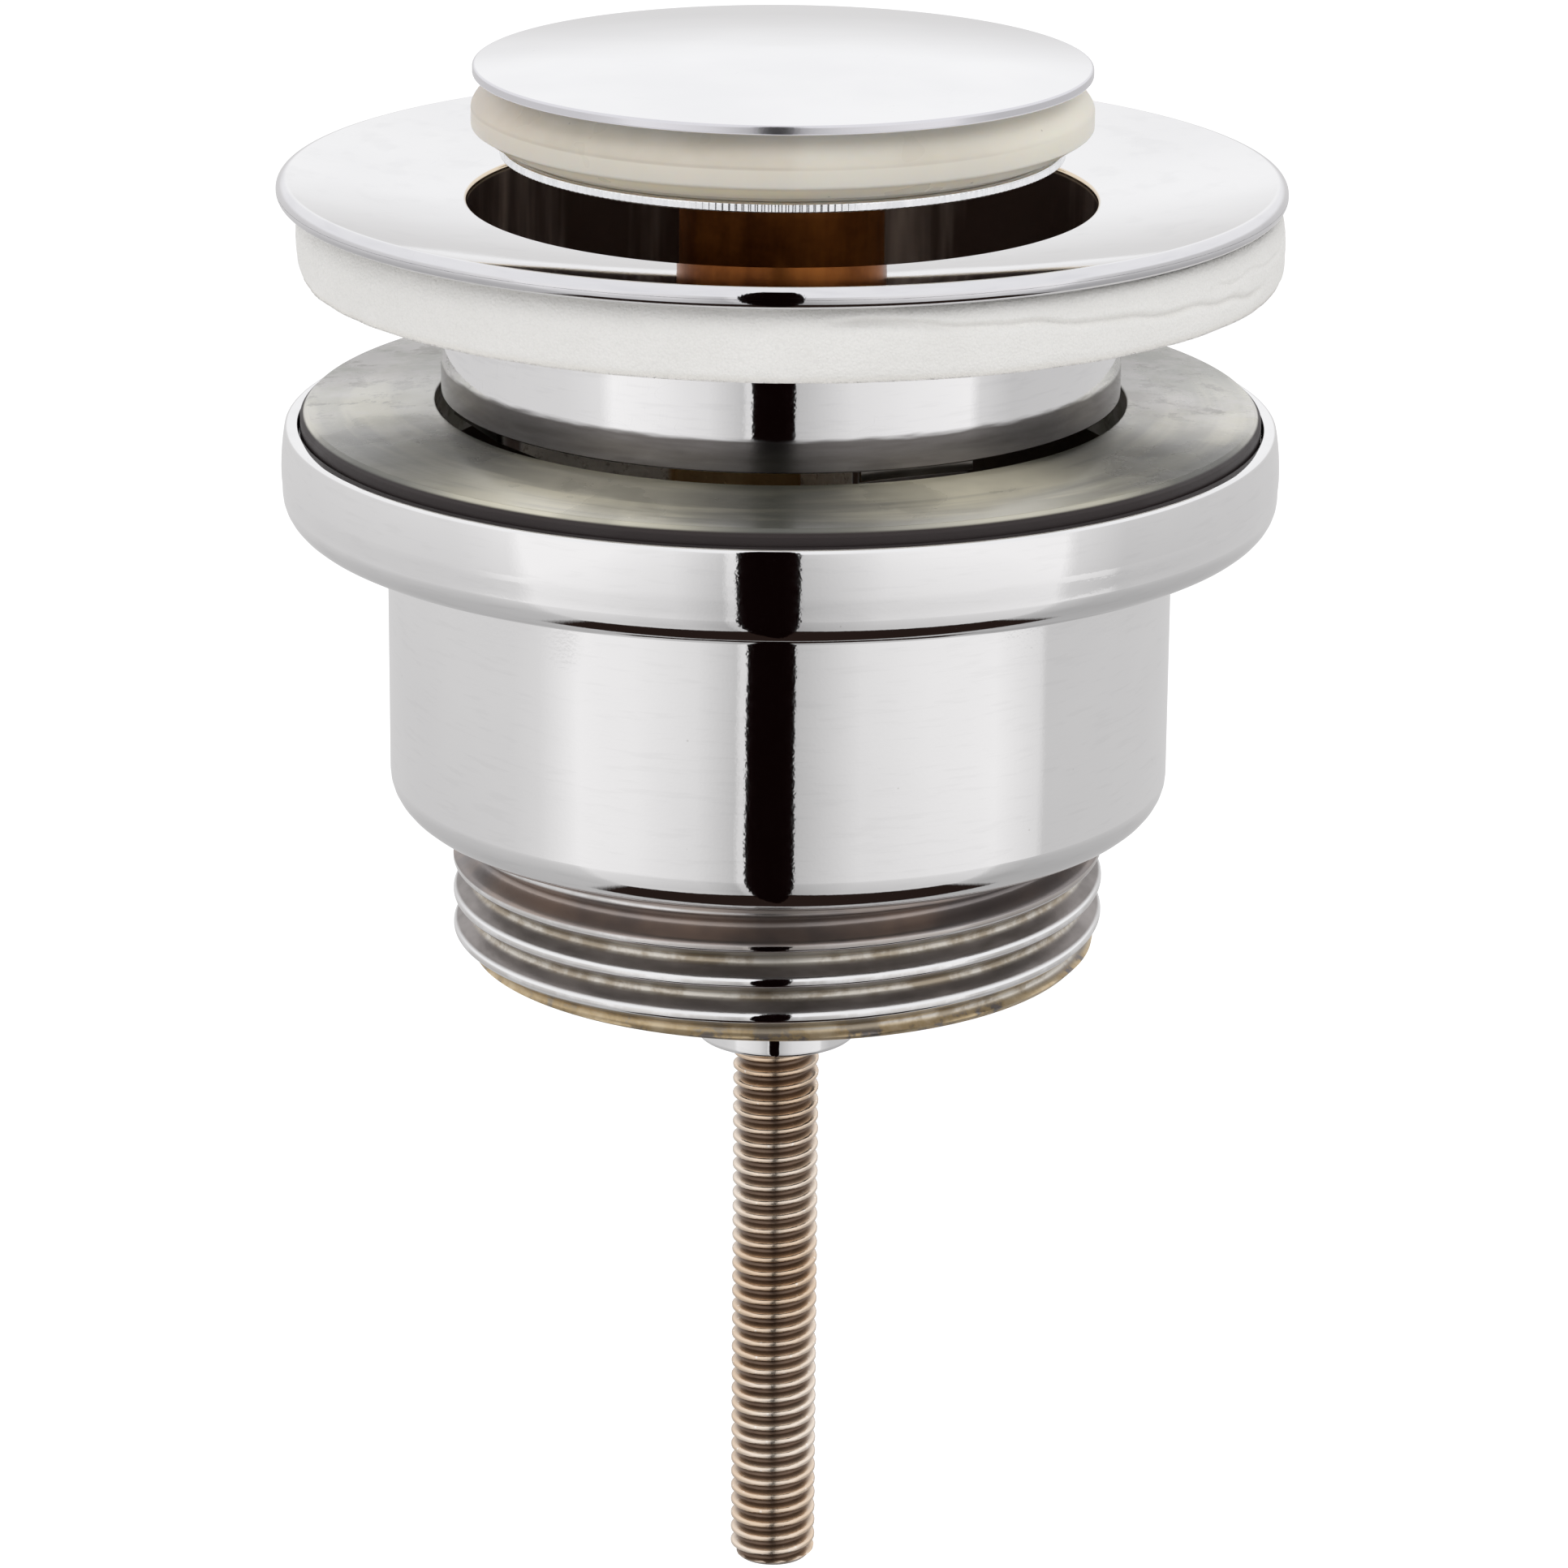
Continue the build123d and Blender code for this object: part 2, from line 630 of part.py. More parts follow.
with BuildPart() as lower_body:
    with BuildSketch(Plane.XZ) as body_section:
        with BuildLine():
            Line((rim_inner_radius, ledge_z), (rim_inner_radius, rim_top_z))
            Line((rim_inner_radius, rim_top_z), (rim_top_radius, rim_top_z))
            ThreePointArc(
                (rim_top_radius, rim_top_z),
                (rim_radius, rim_bulge_z),
                (rim_foot_radius, rim_underside_z + rim_corner),
            )
            ThreePointArc(
                (rim_foot_radius, rim_underside_z + rim_corner),
                (rim_foot_radius - rim_corner * (1 - sin(pi / 4)), rim_underside_z + rim_corner * (1 - sin(pi / 4))),
                (rim_foot_radius - rim_corner, rim_underside_z),
            )
            Polyline(
                (rim_foot_radius - rim_corner, rim_underside_z),
                (cup_radius, rim_underside_z),
                (cup_radius, cup_bottom_z),
                (outlet_thread_radius, cup_bottom_z),
                (outlet_thread_radius, outlet_end_z),
                (outlet_bore_radius, outlet_end_z),
                (outlet_bore_radius, cup_floor_z),
                (cup_inner_radius, cup_floor_z),
                (cup_inner_radius, ledge_z),
                (rim_inner_radius, ledge_z),
            )
        make_face()
        fillet(corner(body_section, rim_top_radius, rim_top_z), edge_break)
        fillet(corner(body_section, cup_radius, rim_underside_z), rim_fillet)
        fillet(corner(body_section, cup_radius, cup_bottom_z), cup_corner)
        fillet(corner(body_section, cup_inner_radius, cup_floor_z), cup_inner_corner)
        chamfer(corner(body_section, outlet_thread_radius, outlet_end_z), outlet_chamfer)
        chamfer(corner(body_section, outlet_bore_radius, outlet_end_z), edge_break)
        fillet(corner(body_section, outlet_bore_radius, cup_floor_z), cup_inner_corner)
    revolve(axis=Axis.Z)
    with BuildSketch(Plane.XZ) as hub_section:
        with BuildLine():
            Polyline(
                (0, hub_top_z),
                (hub_radius, hub_top_z),
                (hub_radius, hub_end_z),
                (0, hub_end_z),
                close=True,
            )
        make_face()
        fillet(corner(hub_section, hub_radius, hub_end_z), hub_end_rounding)
        fillet(corner(hub_section, hub_radius, hub_top_z), hub_top_rounding)
    revolve(axis=Axis.Z)
    add(spokes.part)
    with BuildSketch(Plane.XY.offset(hub_end_z - cut_beyond)):
        Circle(screw_radius + running_gap)
    extrude(amount=hub_top_z - hub_end_z + 2 * cut_beyond, mode=Mode.SUBTRACT)
lower_body.part.label = "lower_body"
export_step(lower_body.part, "parts/lower_body.step")

# Rubber gasket that stands out of the rim
with BuildPart() as body_gasket:
    with BuildSketch(Plane.XZ) as gasket_section:
        with BuildLine():
            Polyline(
                (gasket_bore_radius, gasket_inner_top_z),
                (gasket_radius, gasket_outer_top_z),
                (gasket_radius, ledge_z + seat_gap),
                (gasket_bore_radius + gasket_foot_inset, ledge_z + seat_gap),
                close=True,
            )
        make_face()
        chamfer(corner(gasket_section, gasket_radius, gasket_outer_top_z), gasket_bevel)
    revolve(axis=Axis.Z)
body_gasket.part.label = "body_gasket"
export_step(body_gasket.part, "parts/body_gasket.step")
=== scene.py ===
from math import atan2, cos, pi, radians, sin, tan

import bmesh
import bpy
from mathutils import Matrix, Vector, noise


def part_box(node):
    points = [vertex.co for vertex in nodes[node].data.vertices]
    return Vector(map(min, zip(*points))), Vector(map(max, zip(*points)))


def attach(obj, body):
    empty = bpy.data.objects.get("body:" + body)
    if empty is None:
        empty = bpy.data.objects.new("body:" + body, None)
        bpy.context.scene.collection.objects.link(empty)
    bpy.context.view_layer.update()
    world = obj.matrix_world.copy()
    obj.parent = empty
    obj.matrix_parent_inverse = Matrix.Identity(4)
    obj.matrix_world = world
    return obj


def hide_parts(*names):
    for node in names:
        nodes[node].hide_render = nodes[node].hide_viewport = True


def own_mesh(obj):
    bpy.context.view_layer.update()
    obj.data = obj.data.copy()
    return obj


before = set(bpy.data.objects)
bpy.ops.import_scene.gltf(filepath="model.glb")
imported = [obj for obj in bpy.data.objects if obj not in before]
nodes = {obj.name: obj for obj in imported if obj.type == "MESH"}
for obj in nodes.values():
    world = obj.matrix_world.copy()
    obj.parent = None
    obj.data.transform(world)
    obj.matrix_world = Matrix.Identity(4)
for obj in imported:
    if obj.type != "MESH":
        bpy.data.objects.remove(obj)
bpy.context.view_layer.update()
mm = 0.001

# Where the camera stands, in the object's frame
camera_distance = 385.0 * mm
camera_height = 89.03 * mm
camera_pitch = 17.76
camera_roll = 0.433
camera_yaw = 0.058
sensor = 36.0
focal_length = 143.85

# The drain's sizes in millimetres, with a few counts. Those that the solids share are as in their source
flange_radius = 31.65
flange_skin = 0.02
flange_bore = 19.75
flange_crest = 5.95
flange_low = 4.60
flange_rounding = 0.62
hole_edge = 4.40
hole_rounding = 0.25
dish_sag = 0.15
collar_radius = 21.45
collar_low = -7.90
collar_fillet = 0.80
plate_low = 3.10
cone_slope = 1.50 / 10.20
arm_turn = -66.4
arm_sink = 0.90
arm_rounding = 0.50
spoke_rounding = 0.90
boss_radius = 8.60
boss_bore = 6.75
boss_high = -5.50
boss_waist = -16.49
boss_foot = 7.50
boss_low = -26.49
core_base_high = -17.60
core_base_low = -20.60
core_base_bore = 6.55
recess_bore = 5.60
recess_floor = -24.04
foam_radius = 30.90
foam_bore = 21.75
foam_shift = 0.55
foam_gap = 0.03
foam_crown = 0.12
foam_edge_fall = 0.35
foam_top_fall = 0.45
disc_bore = 2.50
disc_radius = 17.70
disc_low = 7.20
disc_high = 7.80
tooth_count = 270.0
tooth_depth = 0.045
disc_rounding = 0.12
disc_rows = (1.20, 0.35)
seal_bore = 14.05
seal_top_radius = 18.15
seal_lip_radius = 19.50
seal_lip_low = 9.07
seal_lip_high = 10.17
seal_low = 7.82
seal_high = 12.23
seal_notch = 0.35
seal_inset = 0.40
seal_wave = 0.05
rim_high = -9.92
rim_low = -16.10
rim_top_radius = 31.30
rim_bulge_radius = 31.58
rim_foot_radius = 31.45
rim_land_radius = 30.50
rim_bulge = -12.80
rim_corner = 1.90
gasket_seat = -13.40
cup_radius = 24.93
cup_low = -35.10
cup_corner = 2.40
cup_bore = 23.00
cup_floor = -33.20
outlet_radius = 20.955
outlet_bore = 18.20
outlet_low = -44.66
outlet_chamfer = 1.05
outlet_pitch = 2.309
outlet_depth = 1.15
outlet_phase = 0.30
thread_start = 0.90
hub_radius = 5.20
hub_high = -35.19
hub_low = -51.25
screw_bore = 2.85
gasket_bore = 22.10
gasket_lip = 21.85
gasket_radius = 30.35
gasket_inner_high = -8.42
gasket_outer_high = -8.95
gasket_bevel = 0.45
gasket_gap = 0.03
gasket_wave = 0.03
screw_radius = 2.80
screw_head_radius = 4.90
screw_head_high = -20.90
screw_head_low = -23.40
screw_head_edge = 0.25
screw_low = -88.30
screw_chamfer = 0.45
screw_pitch = 1.0
screw_depth = 0.56
screw_flat = 0.16
screw_run_out = 0.80
socket_across_flats = 4.0
socket_depth = 1.7
wire_radius = 0.30
wire_sides = 12
coil_turns = 9
coil_steps = 40

# The two ends of a spoke and of a bridge arm: radius, height of the back, depth and width
spoke_ends = ((hub_radius - 0.8, -36.20, 5.6, 3.2), (outlet_bore + 0.55, -35.10, 5.6, 3.2))
bridge_ends = ((boss_radius - arm_sink, -9.0, 6.0, 4.6), (flange_bore + arm_sink, -4.0, 4.6, 7.4))

# Splits of the foam: first and last angle from the front, height at the first, rise, width and depth
foam_creases = (
    (0.08, 1.22, 3.80, -2.50, 0.22, 0.36),
    (0.95, 1.50, 2.60, 0.30, 0.16, 0.14),
)
crease_wander = 0.40

# Lumps of the foam's wall: height and scale
foam_lumps = ((0.10, 0.35), (0.035, 2.2))

# Angles in degrees above which an edge stays sharp
soft_edge = 35.0
metal_edge = 50.0


# Node trees

class Socket:
    """One socket of a node tree that takes part in sums and products."""

    def __init__(self, tree, out):
        self.tree = tree
        self.out = out

    def __add__(self, other):
        return self.tree.function("ADD", self, other)

    def __sub__(self, other):
        return self.tree.function("SUBTRACT", self, other)

    def __rsub__(self, other):
        return self.tree.function("SUBTRACT", other, self)

    def __mul__(self, other):
        return self.tree.function("MULTIPLY", self, other)

    def __truediv__(self, other):
        return self.tree.function("DIVIDE", self, other)

    def __pow__(self, other):
        return self.tree.function("POWER", self, other)

    def __neg__(self):
        return self.tree.function("MULTIPLY", self, -1.0)

    __radd__ = __add__
    __rmul__ = __mul__

    def ramp(self, low, high, kind="SMOOTHSTEP"):
        """Goes from 0 to 1 while this value goes from low to high."""
        return self.tree.add("ShaderNodeMapRange", {0: self, 1: low, 2: high}, interpolation_type=kind)

    def size(self):
        """This value without its sign."""
        return self.tree.function("ABSOLUTE", self)

    def also(self, output):
        """Another output of the same node."""
        return Socket(self.tree, self.out.node.outputs[output])


class Tree:
    """A node tree that is filled by expressions."""

    def __init__(self, tree):
        self.tree = tree

    def add(self, kind, inputs=None, output=0, **settings):
        """Adds a node: first its settings, then the values or links of its sockets."""
        node = self.tree.nodes.new(kind)
        for key, value in settings.items():
            setattr(node, key, value)
        for key, value in (inputs or {}).items():
            if isinstance(value, Socket):
                self.tree.links.new(value.out, node.inputs[key])
            else:
                node.inputs[key].default_value = value
        return Socket(self, node.outputs[output]) if node.outputs else None

    def function(self, name, a, b=0.0):
        return self.add("ShaderNodeMath", {0: a, 1: b}, operation=name)

    def greatest(self, a, b):
        return self.function("MAXIMUM", a, b)

    def mix(self, factor, a, b):
        """A colour that goes from a to b."""
        values = {0: factor, 6: colour(a), 7: colour(b)}
        return self.add("ShaderNodeMix", values, output=2, data_type="RGBA", clamp_factor=True)

    def layers(self, base, *covers):
        """Lays colours over a base, one after the other, each by its own factor."""
        for factor, shade in covers:
            base = self.mix(factor, base, shade)
        return base

    def joined(self, x=0.0, y=0.0, z=0.0):
        return self.add("ShaderNodeCombineXYZ", {0: x, 1: y, 2: z})

    def split(self, point):
        x = self.add("ShaderNodeSeparateXYZ", {0: point})
        return x, x.also(1), x.also(2)

    def round_axis(self, point):
        """The coordinates of a point, its radius and its angle in turns."""
        x, y, z = self.split(point)
        radius = self.function("SQRT", x * x + y * y)
        turn = self.function("ARCTAN2", y, x) / (2 * pi)
        return x, y, z, radius, turn


def colour(value):
    """A grey or a colour with its fourth number, or a socket as it is."""
    if isinstance(value, Socket):
        return value
    if isinstance(value, (int, float)):
        return (value, value, value, 1.0)
    return (*value, 1.0)


class Finish(Tree):
    """A material's tree, with the patterns that its finishes share."""

    def __init__(self, name):
        self.material = bpy.data.materials.new(name)
        self.material.use_nodes = True
        self.material.node_tree.nodes.clear()
        super().__init__(self.material.node_tree)
        self.point = self.add("ShaderNodeTexCoord", output=3)
        self.x, self.y, self.z, self.radius, self.turn = self.round_axis(self.point)

    def stretched(self, across, along):
        """A point whose pattern is stretched round the axis or along it."""
        return self.joined(self.x * across, self.y * across, self.z * along)

    def noise(self, scale, detail=3.0, roughness=0.55, distortion=0.0, point=None):
        values = {"Scale": scale, "Detail": detail, "Roughness": roughness, "Distortion": distortion}
        values["Vector"] = point or self.point
        return self.add("ShaderNodeTexNoise", values, normalize=True)

    def cells(self, scale):
        return self.add("ShaderNodeTexVoronoi", {"Scale": scale, "Vector": self.point})

    def specks(self, scale, size, share):
        """Round specks, one in some cells. share is how many cells have none."""
        cell = self.cells(scale)
        chosen = self.add("ShaderNodeSeparateColor", {0: cell.also(1)})
        return cell.ramp(size, size * 0.5) * chosen.ramp(share, share + 0.02)

    def bump(self, height, distance, normal=None, strength=1.0):
        values = {"Height": height, "Distance": distance, "Strength": strength}
        if normal:
            values["Normal"] = normal
        return self.add("ShaderNodeBump", values)

    def done(self, fixed, base, roughness=None, normal=None, metallic=None, coat=None):
        """Closes the tree with one shader. fixed are its constants, the rest changes over the surface."""
        values = {"Base Color": base, "Roughness": roughness, "Normal": normal, "Metallic": metallic}
        values["Coat Weight"] = coat
        varied = {key: value for key, value in values.items() if value}
        shader = self.add("ShaderNodeBsdfPrincipled", {**fixed, **varied})
        self.add("ShaderNodeOutputMaterial", {0: shader})
        return self.material


# Finishes. The pairs of radii and heights in them, in metres, say where one colour goes over into the next

metal = {"Metallic": 1.0}

# Turn, stretch and scale of each set of scratches, and how far apart the sets lie in their noise
scratch_sets = ((0.4, 26.0, 90.0), (1.9, 34.0, 75.0), (2.8, 22.0, 120.0))
scratch_gap = 0.04

# Where painted marks of the outlet's thread fade in, in windings counted from height 0: the last bright
# crest, the painted shade on the plain stretch under the cup, and a faint grey crest line
last_crest_starts = (-15.5, -15.4)
painted_shade_starts = (-15.97, -15.92)
faint_crest_starts = (-16.14, -16.10)

# Painted reflections on the gasket, fan-shaped and bright: how many to a turn, and the phase of the first in
# radians
reflection_fan_count = 6
reflection_fan_phase = 2.83


def polish_marks(tree):
    """Fine brushing round the axis, its roughness, and a normal with the unevenness of polished metal."""
    brushed = tree.noise(2600.0, 2.0, point=tree.stretched(0.12, 1.0))
    grain = tree.noise(4200.0, 1.0)
    normal = tree.bump(tree.noise(85.0, 1.0), 0.00005)
    normal = tree.bump(brushed * 0.5 + grain, 0.0000012, normal)
    return brushed, 0.025 + 0.025 * brushed, normal


def hair_scratches(tree):
    """Hair-fine scratches that run every way."""
    lines = None
    for index, (turn, stretch, scale) in enumerate(scratch_sets):
        values = {"Vector": tree.point, "Angle": turn}
        turned_point = tree.add("ShaderNodeVectorRotate", values, rotation_type="Z_AXIS")
        values = {0: turned_point, 1: (1.0, stretch, 3.0)}
        thin = tree.add("ShaderNodeVectorMath", values, operation="MULTIPLY")
        field = tree.noise(scale, 2.0, 0.5, point=thin)
        line = (field - 0.5 - scratch_gap * index).size().ramp(0.004, 0.0)
        lines = line if lines is None else tree.greatest(lines, line)
    return lines * tree.noise(160.0, 2.0).ramp(0.52, 0.66)


def polished_chrome(name):
    """Bright chrome of the cap, duller along its edge."""
    tree = Finish(name)
    rough, normal = polish_marks(tree)[1:]
    edge = tree.radius.ramp(0.01915, 0.01925)
    base = tree.layers(
        tree.mix(tree.noise(70.0).ramp(0.3, 0.7), (0.87, 0.87, 0.88), (0.92, 0.92, 0.925)),
        (hair_scratches(tree) * 0.12, (0.55, 0.55, 0.57)),
        (tree.specks(900.0, 0.10, 0.96) * 0.25, (0.40, 0.39, 0.38)),
        (edge * 0.6, (0.64, 0.63, 0.68)),
    )
    return tree.done(metal, base, rough + 0.14 * edge, normal)


def flange_chrome(name):
    """Chrome of the flange, dull inside its bore, pitted on the bridge and bare brass on the boss, with a
    painted reflection of the gasket as a dark stripe low on the collar.
    """
    tree = Finish(name)
    brushed, rough, normal = polish_marks(tree)
    outside = tree.radius.ramp(0.0202, 0.0207)
    in_collar = tree.radius.ramp(0.0191, 0.0195) * (1 - outside)
    inner_wall = in_collar * tree.z.ramp(0.0042, 0.0040)
    worn_edge = in_collar * tree.z.ramp(0.0039, 0.0041) * tree.radius.ramp(0.01995, 0.01985)
    # Painted reflection: a dark stripe low on the outside of the collar stands for the gasket reflected in it
    gasket_reflection_stripe = outside * tree.radius.ramp(0.0220, 0.0217) * (tree.z + 0.0005 * brushed).ramp(-0.0054, -0.0058)
    boss = tree.radius.ramp(0.0092, 0.0087)
    bridge = (1 - outside) * (1 - inner_wall) * tree.z.ramp(0.002, 0.0)
    roll = tree.radius.ramp(0.03095, 0.0312)
    smudge = tree.noise(170.0, 4.0, 0.6, point=tree.stretched(1.0, 0.12))
    base = tree.layers(
        tree.mix(tree.noise(60.0).ramp(0.3, 0.7), (0.85, 0.848, 0.852), (0.89, 0.888, 0.89)),
        (brushed.ramp(0.50, 0.72) * 0.12, (0.58, 0.58, 0.59)),
        (hair_scratches(tree) * 0.12, (0.45, 0.45, 0.45)),
        (roll * (0.25 + 0.3 * brushed), (0.60, 0.595, 0.64)),
        # painted reflection of the gasket, dark, low on the collar
        (gasket_reflection_stripe * (0.84 + 0.12 * brushed), (0.085, 0.073, 0.067)),
        (bridge, (0.95, 0.89, 0.80)),
        (bridge * tree.noise(900.0, 4.0, 0.7).ramp(0.52, 0.66) * 0.7, (0.36, 0.29, 0.22)),
        (inner_wall, tree.mix(smudge.ramp(0.50, 0.72), (0.075, 0.044, 0.034), (0.50, 0.41, 0.36))),
        (worn_edge, (0.78, 0.66, 0.50)),
        (boss, tree.mix(smudge.ramp(0.35, 0.7), (0.42, 0.25, 0.10), (0.66, 0.45, 0.22))),
    )
    metallic = 1 - 0.75 * inner_wall - 0.35 * bridge
    rough = rough + inner_wall * 0.32 + bridge * 0.25 + boss * 0.10 + gasket_reflection_stripe * 0.12
    normal = tree.bump(tree.specks(1500.0, 0.22, 0.86) * bridge, -0.00004, normal)
    normal = tree.bump(tree.noise(700.0) * bridge, 0.00012, normal)
    return tree.done({}, base, rough, normal, metallic)


def body_chrome(name):
    """Chrome of the lower body, with painted shade and painted highlights on its thread, stained thread roots
    that also carry a painted highlight, a bare end and a dull inside.
    """
    tree = Finish(name)
    brushed, rough, normal = polish_marks(tree)
    threaded = tree.z.ramp(-0.0349, -0.0353) * tree.radius.ramp(0.0186, 0.0188)
    flank = tree.radius.ramp(0.02090, 0.02070) * threaded
    winding = tree.z / (outlet_pitch * mm) - tree.turn + outlet_phase
    place = tree.function("FRACT", winding)
    crest_line = (place - 0.5).size().ramp(0.42, 0.47)
    second = winding.ramp(*last_crest_starts)
    # The last crest stays bright chrome, free of the painted shade
    last_crest = crest_line * second * tree.z.ramp(-0.0359, -0.0361)
    # Painted shade: the plain stretch between the cup and the first crest is painted dark, all but the last
    # crest
    plain = threaded * winding.ramp(*painted_shade_starts) * (1 - last_crest)
    # Thread roots: a brown stain in some places and a bright painted highlight in others
    root = tree.radius.ramp(0.0201, 0.0198) * threaded * (1 - plain)
    faint = crest_line * winding.ramp(*faint_crest_starts) * (1 - second) * tree.turn.ramp(-0.36, -0.27)
    end = tree.z.ramp(-0.0438, -0.0441) * tree.radius.ramp(0.0150, 0.0160)
    cup = tree.radius.ramp(0.0235, 0.0231) * tree.z.ramp(-0.0352, -0.0348)
    bore = tree.radius.ramp(0.0187, 0.0185) * tree.radius.ramp(0.0176, 0.0178)
    inside = tree.greatest(cup, bore)
    stain = tree.noise(420.0, 4.0, 0.65)
    along = tree.noise(700.0, 3.0, 0.6, point=tree.stretched(0.25, 1.0))
    # Painted shading on the thread's flanks: the two flanks of each groove get a darker and a lighter grey by
    # the way they face, with a painted golden highlight just below each crest. The flanks are also duller
    # chrome
    darker_flank_shade = tree.mix(along.ramp(0.3, 0.7), (0.20, 0.18, 0.17), (0.34, 0.31, 0.30))
    lighter_flank_sheen = tree.mix(along.ramp(0.3, 0.7), (0.25, 0.235, 0.225), (0.47, 0.45, 0.43))
    lighter_flank_sheen = tree.mix(place.ramp(0.80, 0.92) * along.ramp(0.4, 0.6), lighter_flank_sheen, (0.58, 0.46, 0.30))
    patch = tree.noise(170.0).ramp(0.38, 0.66)
    brass = tree.mix(stain.ramp(0.4, 0.7), (0.50, 0.37, 0.20), (0.70, 0.58, 0.40))
    base = tree.layers(
        tree.mix(tree.noise(55.0).ramp(0.3, 0.7), (0.85, 0.848, 0.85), (0.89, 0.888, 0.888)),
        (brushed.ramp(0.52, 0.72) * 0.10, (0.6, 0.6, 0.6)),
        (tree.specks(1100.0, 0.10, 0.96) * 0.3, (0.35, 0.33, 0.30)),
        # flanks: painted shade on one side, painted sheen and highlight on the other
        (flank, tree.mix(place.ramp(0.48, 0.56), darker_flank_shade, lighter_flank_sheen)),
        # painted shade under the cup, in patches
        (plain, tree.mix(patch * 0.8, (0.27, 0.245, 0.24), (0.44, 0.36, 0.315))),
        (faint * threaded * 0.7, (0.36, 0.31, 0.28)),
        (crest_line * threaded * stain.ramp(0.35, 0.6) * 0.35, (0.42, 0.38, 0.34)),
        # roots: brown stain where the noise is low, bright painted highlight where it is high
        (root * 0.8, tree.mix(stain.ramp(0.4, 0.6), (0.45, 0.38, 0.28), (0.80, 0.76, 0.68))),
        (end * stain.ramp(0.42, 0.5), brass),
        (inside, (0.19, 0.16, 0.135)),
    )
    rough = rough + tree.greatest(flank, plain) * 0.30 + end * 0.1 + inside * 0.35
    normal = tree.bump(tree.noise(900.0) * flank, 0.00002, normal)
    return tree.done(metal, base, rough, normal)


def clear_silicone(name):
    """Cream, slightly cloudy silicone of the seal, with painted shade on its top under the cap, a painted
    highlight on its lip, and painted light below the lip and on its left and right sides.
    """
    tree = Finish(name)
    cloud = tree.noise(180.0)
    foot = tree.z.ramp(0.0086, 0.0082)
    lip = tree.z.ramp(0.01022, 0.01012) * tree.z.ramp(0.0089, 0.0091)
    mottle = tree.noise(75.0, point=tree.stretched(1.0, 0.5))
    base = tree.layers(
        tree.mix(cloud.ramp(0.3, 0.7), (0.62, 0.57, 0.48), (0.70, 0.65, 0.57)),
        # Painted shade: the top of the seal, under the cap, is darker
        (tree.z.ramp(0.0110, 0.0120) * 0.35, (0.48, 0.45, 0.40)),
        # Painted highlight along the lip
        (lip * 0.8, (0.78, 0.74, 0.66)),
        ((tree.z - 0.01028).size().ramp(0.00014, 0.0) * 0.5, (0.56, 0.51, 0.44)),
        # Painted light below the lip: bright warm colour
        (tree.z.ramp(0.0091, 0.0088) * 0.9, (1.0, 0.88, 0.67)),
        (foot * 0.25, (0.52, 0.44, 0.33)),
        # Painted light on the right side of the seal
        (tree.x.ramp(0.010, 0.0185) * 0.85, (1.0, 0.92, 0.77)),
        # Painted light on the left side, weaker
        (tree.x.ramp(-0.012, -0.018) * 0.35, (0.88, 0.76, 0.64)),
        (tree.specks(1300.0, 0.12, 0.90) * foot, (0.12, 0.10, 0.08)),
        (mottle.ramp(0.45, 0.62) * 0.45, (0.82, 0.79, 0.71)),
        (tree.specks(700.0, 0.09, 0.94) * 0.7, (0.20, 0.16, 0.12)),
    )
    normal = tree.bump(tree.noise(500.0), 0.00003)
    fixed = {"Subsurface Weight": 0.6, "Subsurface Radius": (1.0, 0.75, 0.5), "Subsurface Scale": 0.0025,
             "IOR": 1.41}
    return tree.done(fixed, base, 0.22 + 0.15 * cloud, normal)


def disc_steel(name):
    """Bright steel of the disc under the seal."""
    tree = Finish(name)
    rings = tree.noise(2600.0, 2.0, point=tree.joined(tree.radius))
    streak = tree.noise(1500.0, 3.0, 0.7, point=tree.stretched(1.0, 0.3))
    base = tree.mix(streak.ramp(0.35, 0.70), (0.86, 0.87, 0.88), (0.96, 0.965, 0.97))
    rough = 0.09 + 0.08 * tree.noise(200.0) + 0.05 * rings
    return tree.done(metal, base, rough, tree.bump(rings, 0.000012))


def worn_brass(name, dark, light, rough_low=0.22, metallic=1.0):
    """Brass that has gone brown, with turning lines and fine rubs."""
    tree = Finish(name)
    lines = tree.noise(2400.0, 2.0, point=tree.stretched(0.04, 1.0))
    rubs = tree.noise(420.0, point=tree.stretched(1.0, 0.15))
    cloud = tree.noise(260.0, 4.0, 0.6)
    base = tree.mix((cloud * 0.5 + rubs * 0.5).ramp(0.35, 0.65), dark, light)
    rough = rough_low + 0.16 * cloud + 0.06 * lines
    normal = tree.bump(lines + rubs * 0.5, 0.000012)
    return tree.done({"Metallic": metallic}, base, rough, normal)


def screw_brass(name):
    """Nickelled brass of the clamp screw, rubbed along its crests."""
    tree = Finish(name)
    crest = tree.radius.ramp(0.00225, 0.00275)
    cloud = tree.noise(300.0, 4.0, 0.6)
    root = tree.mix(cloud, (0.10, 0.065, 0.048), (0.24, 0.17, 0.125))
    face = tree.mix(tree.noise(90.0).ramp(0.35, 0.65), (0.78, 0.60, 0.44), (0.90, 0.79, 0.68))
    grains = tree.specks(2600.0, 0.30, 0.80)
    base = tree.layers(root, (crest, face), (crest * grains * 0.6, (0.98, 0.95, 0.90)))
    rough = 0.24 - 0.10 * crest + 0.15 * cloud
    return tree.done(metal, base, rough, tree.bump(tree.noise(1800.0), 0.00001))


def spring_steel(name):
    tree = Finish(name)
    cloud = tree.noise(500.0)
    base = tree.mix(cloud, (0.42, 0.42, 0.43), (0.60, 0.60, 0.60))
    return tree.done(metal, base, 0.24 + 0.15 * cloud)


def black_rubber(name):
    tree = Finish(name)
    cloud = tree.noise(700.0)
    base = tree.mix(cloud, (0.012, 0.012, 0.012), (0.028, 0.027, 0.026))
    return tree.done({}, base, 0.45 + 0.2 * cloud, tree.bump(cloud, 0.00002))


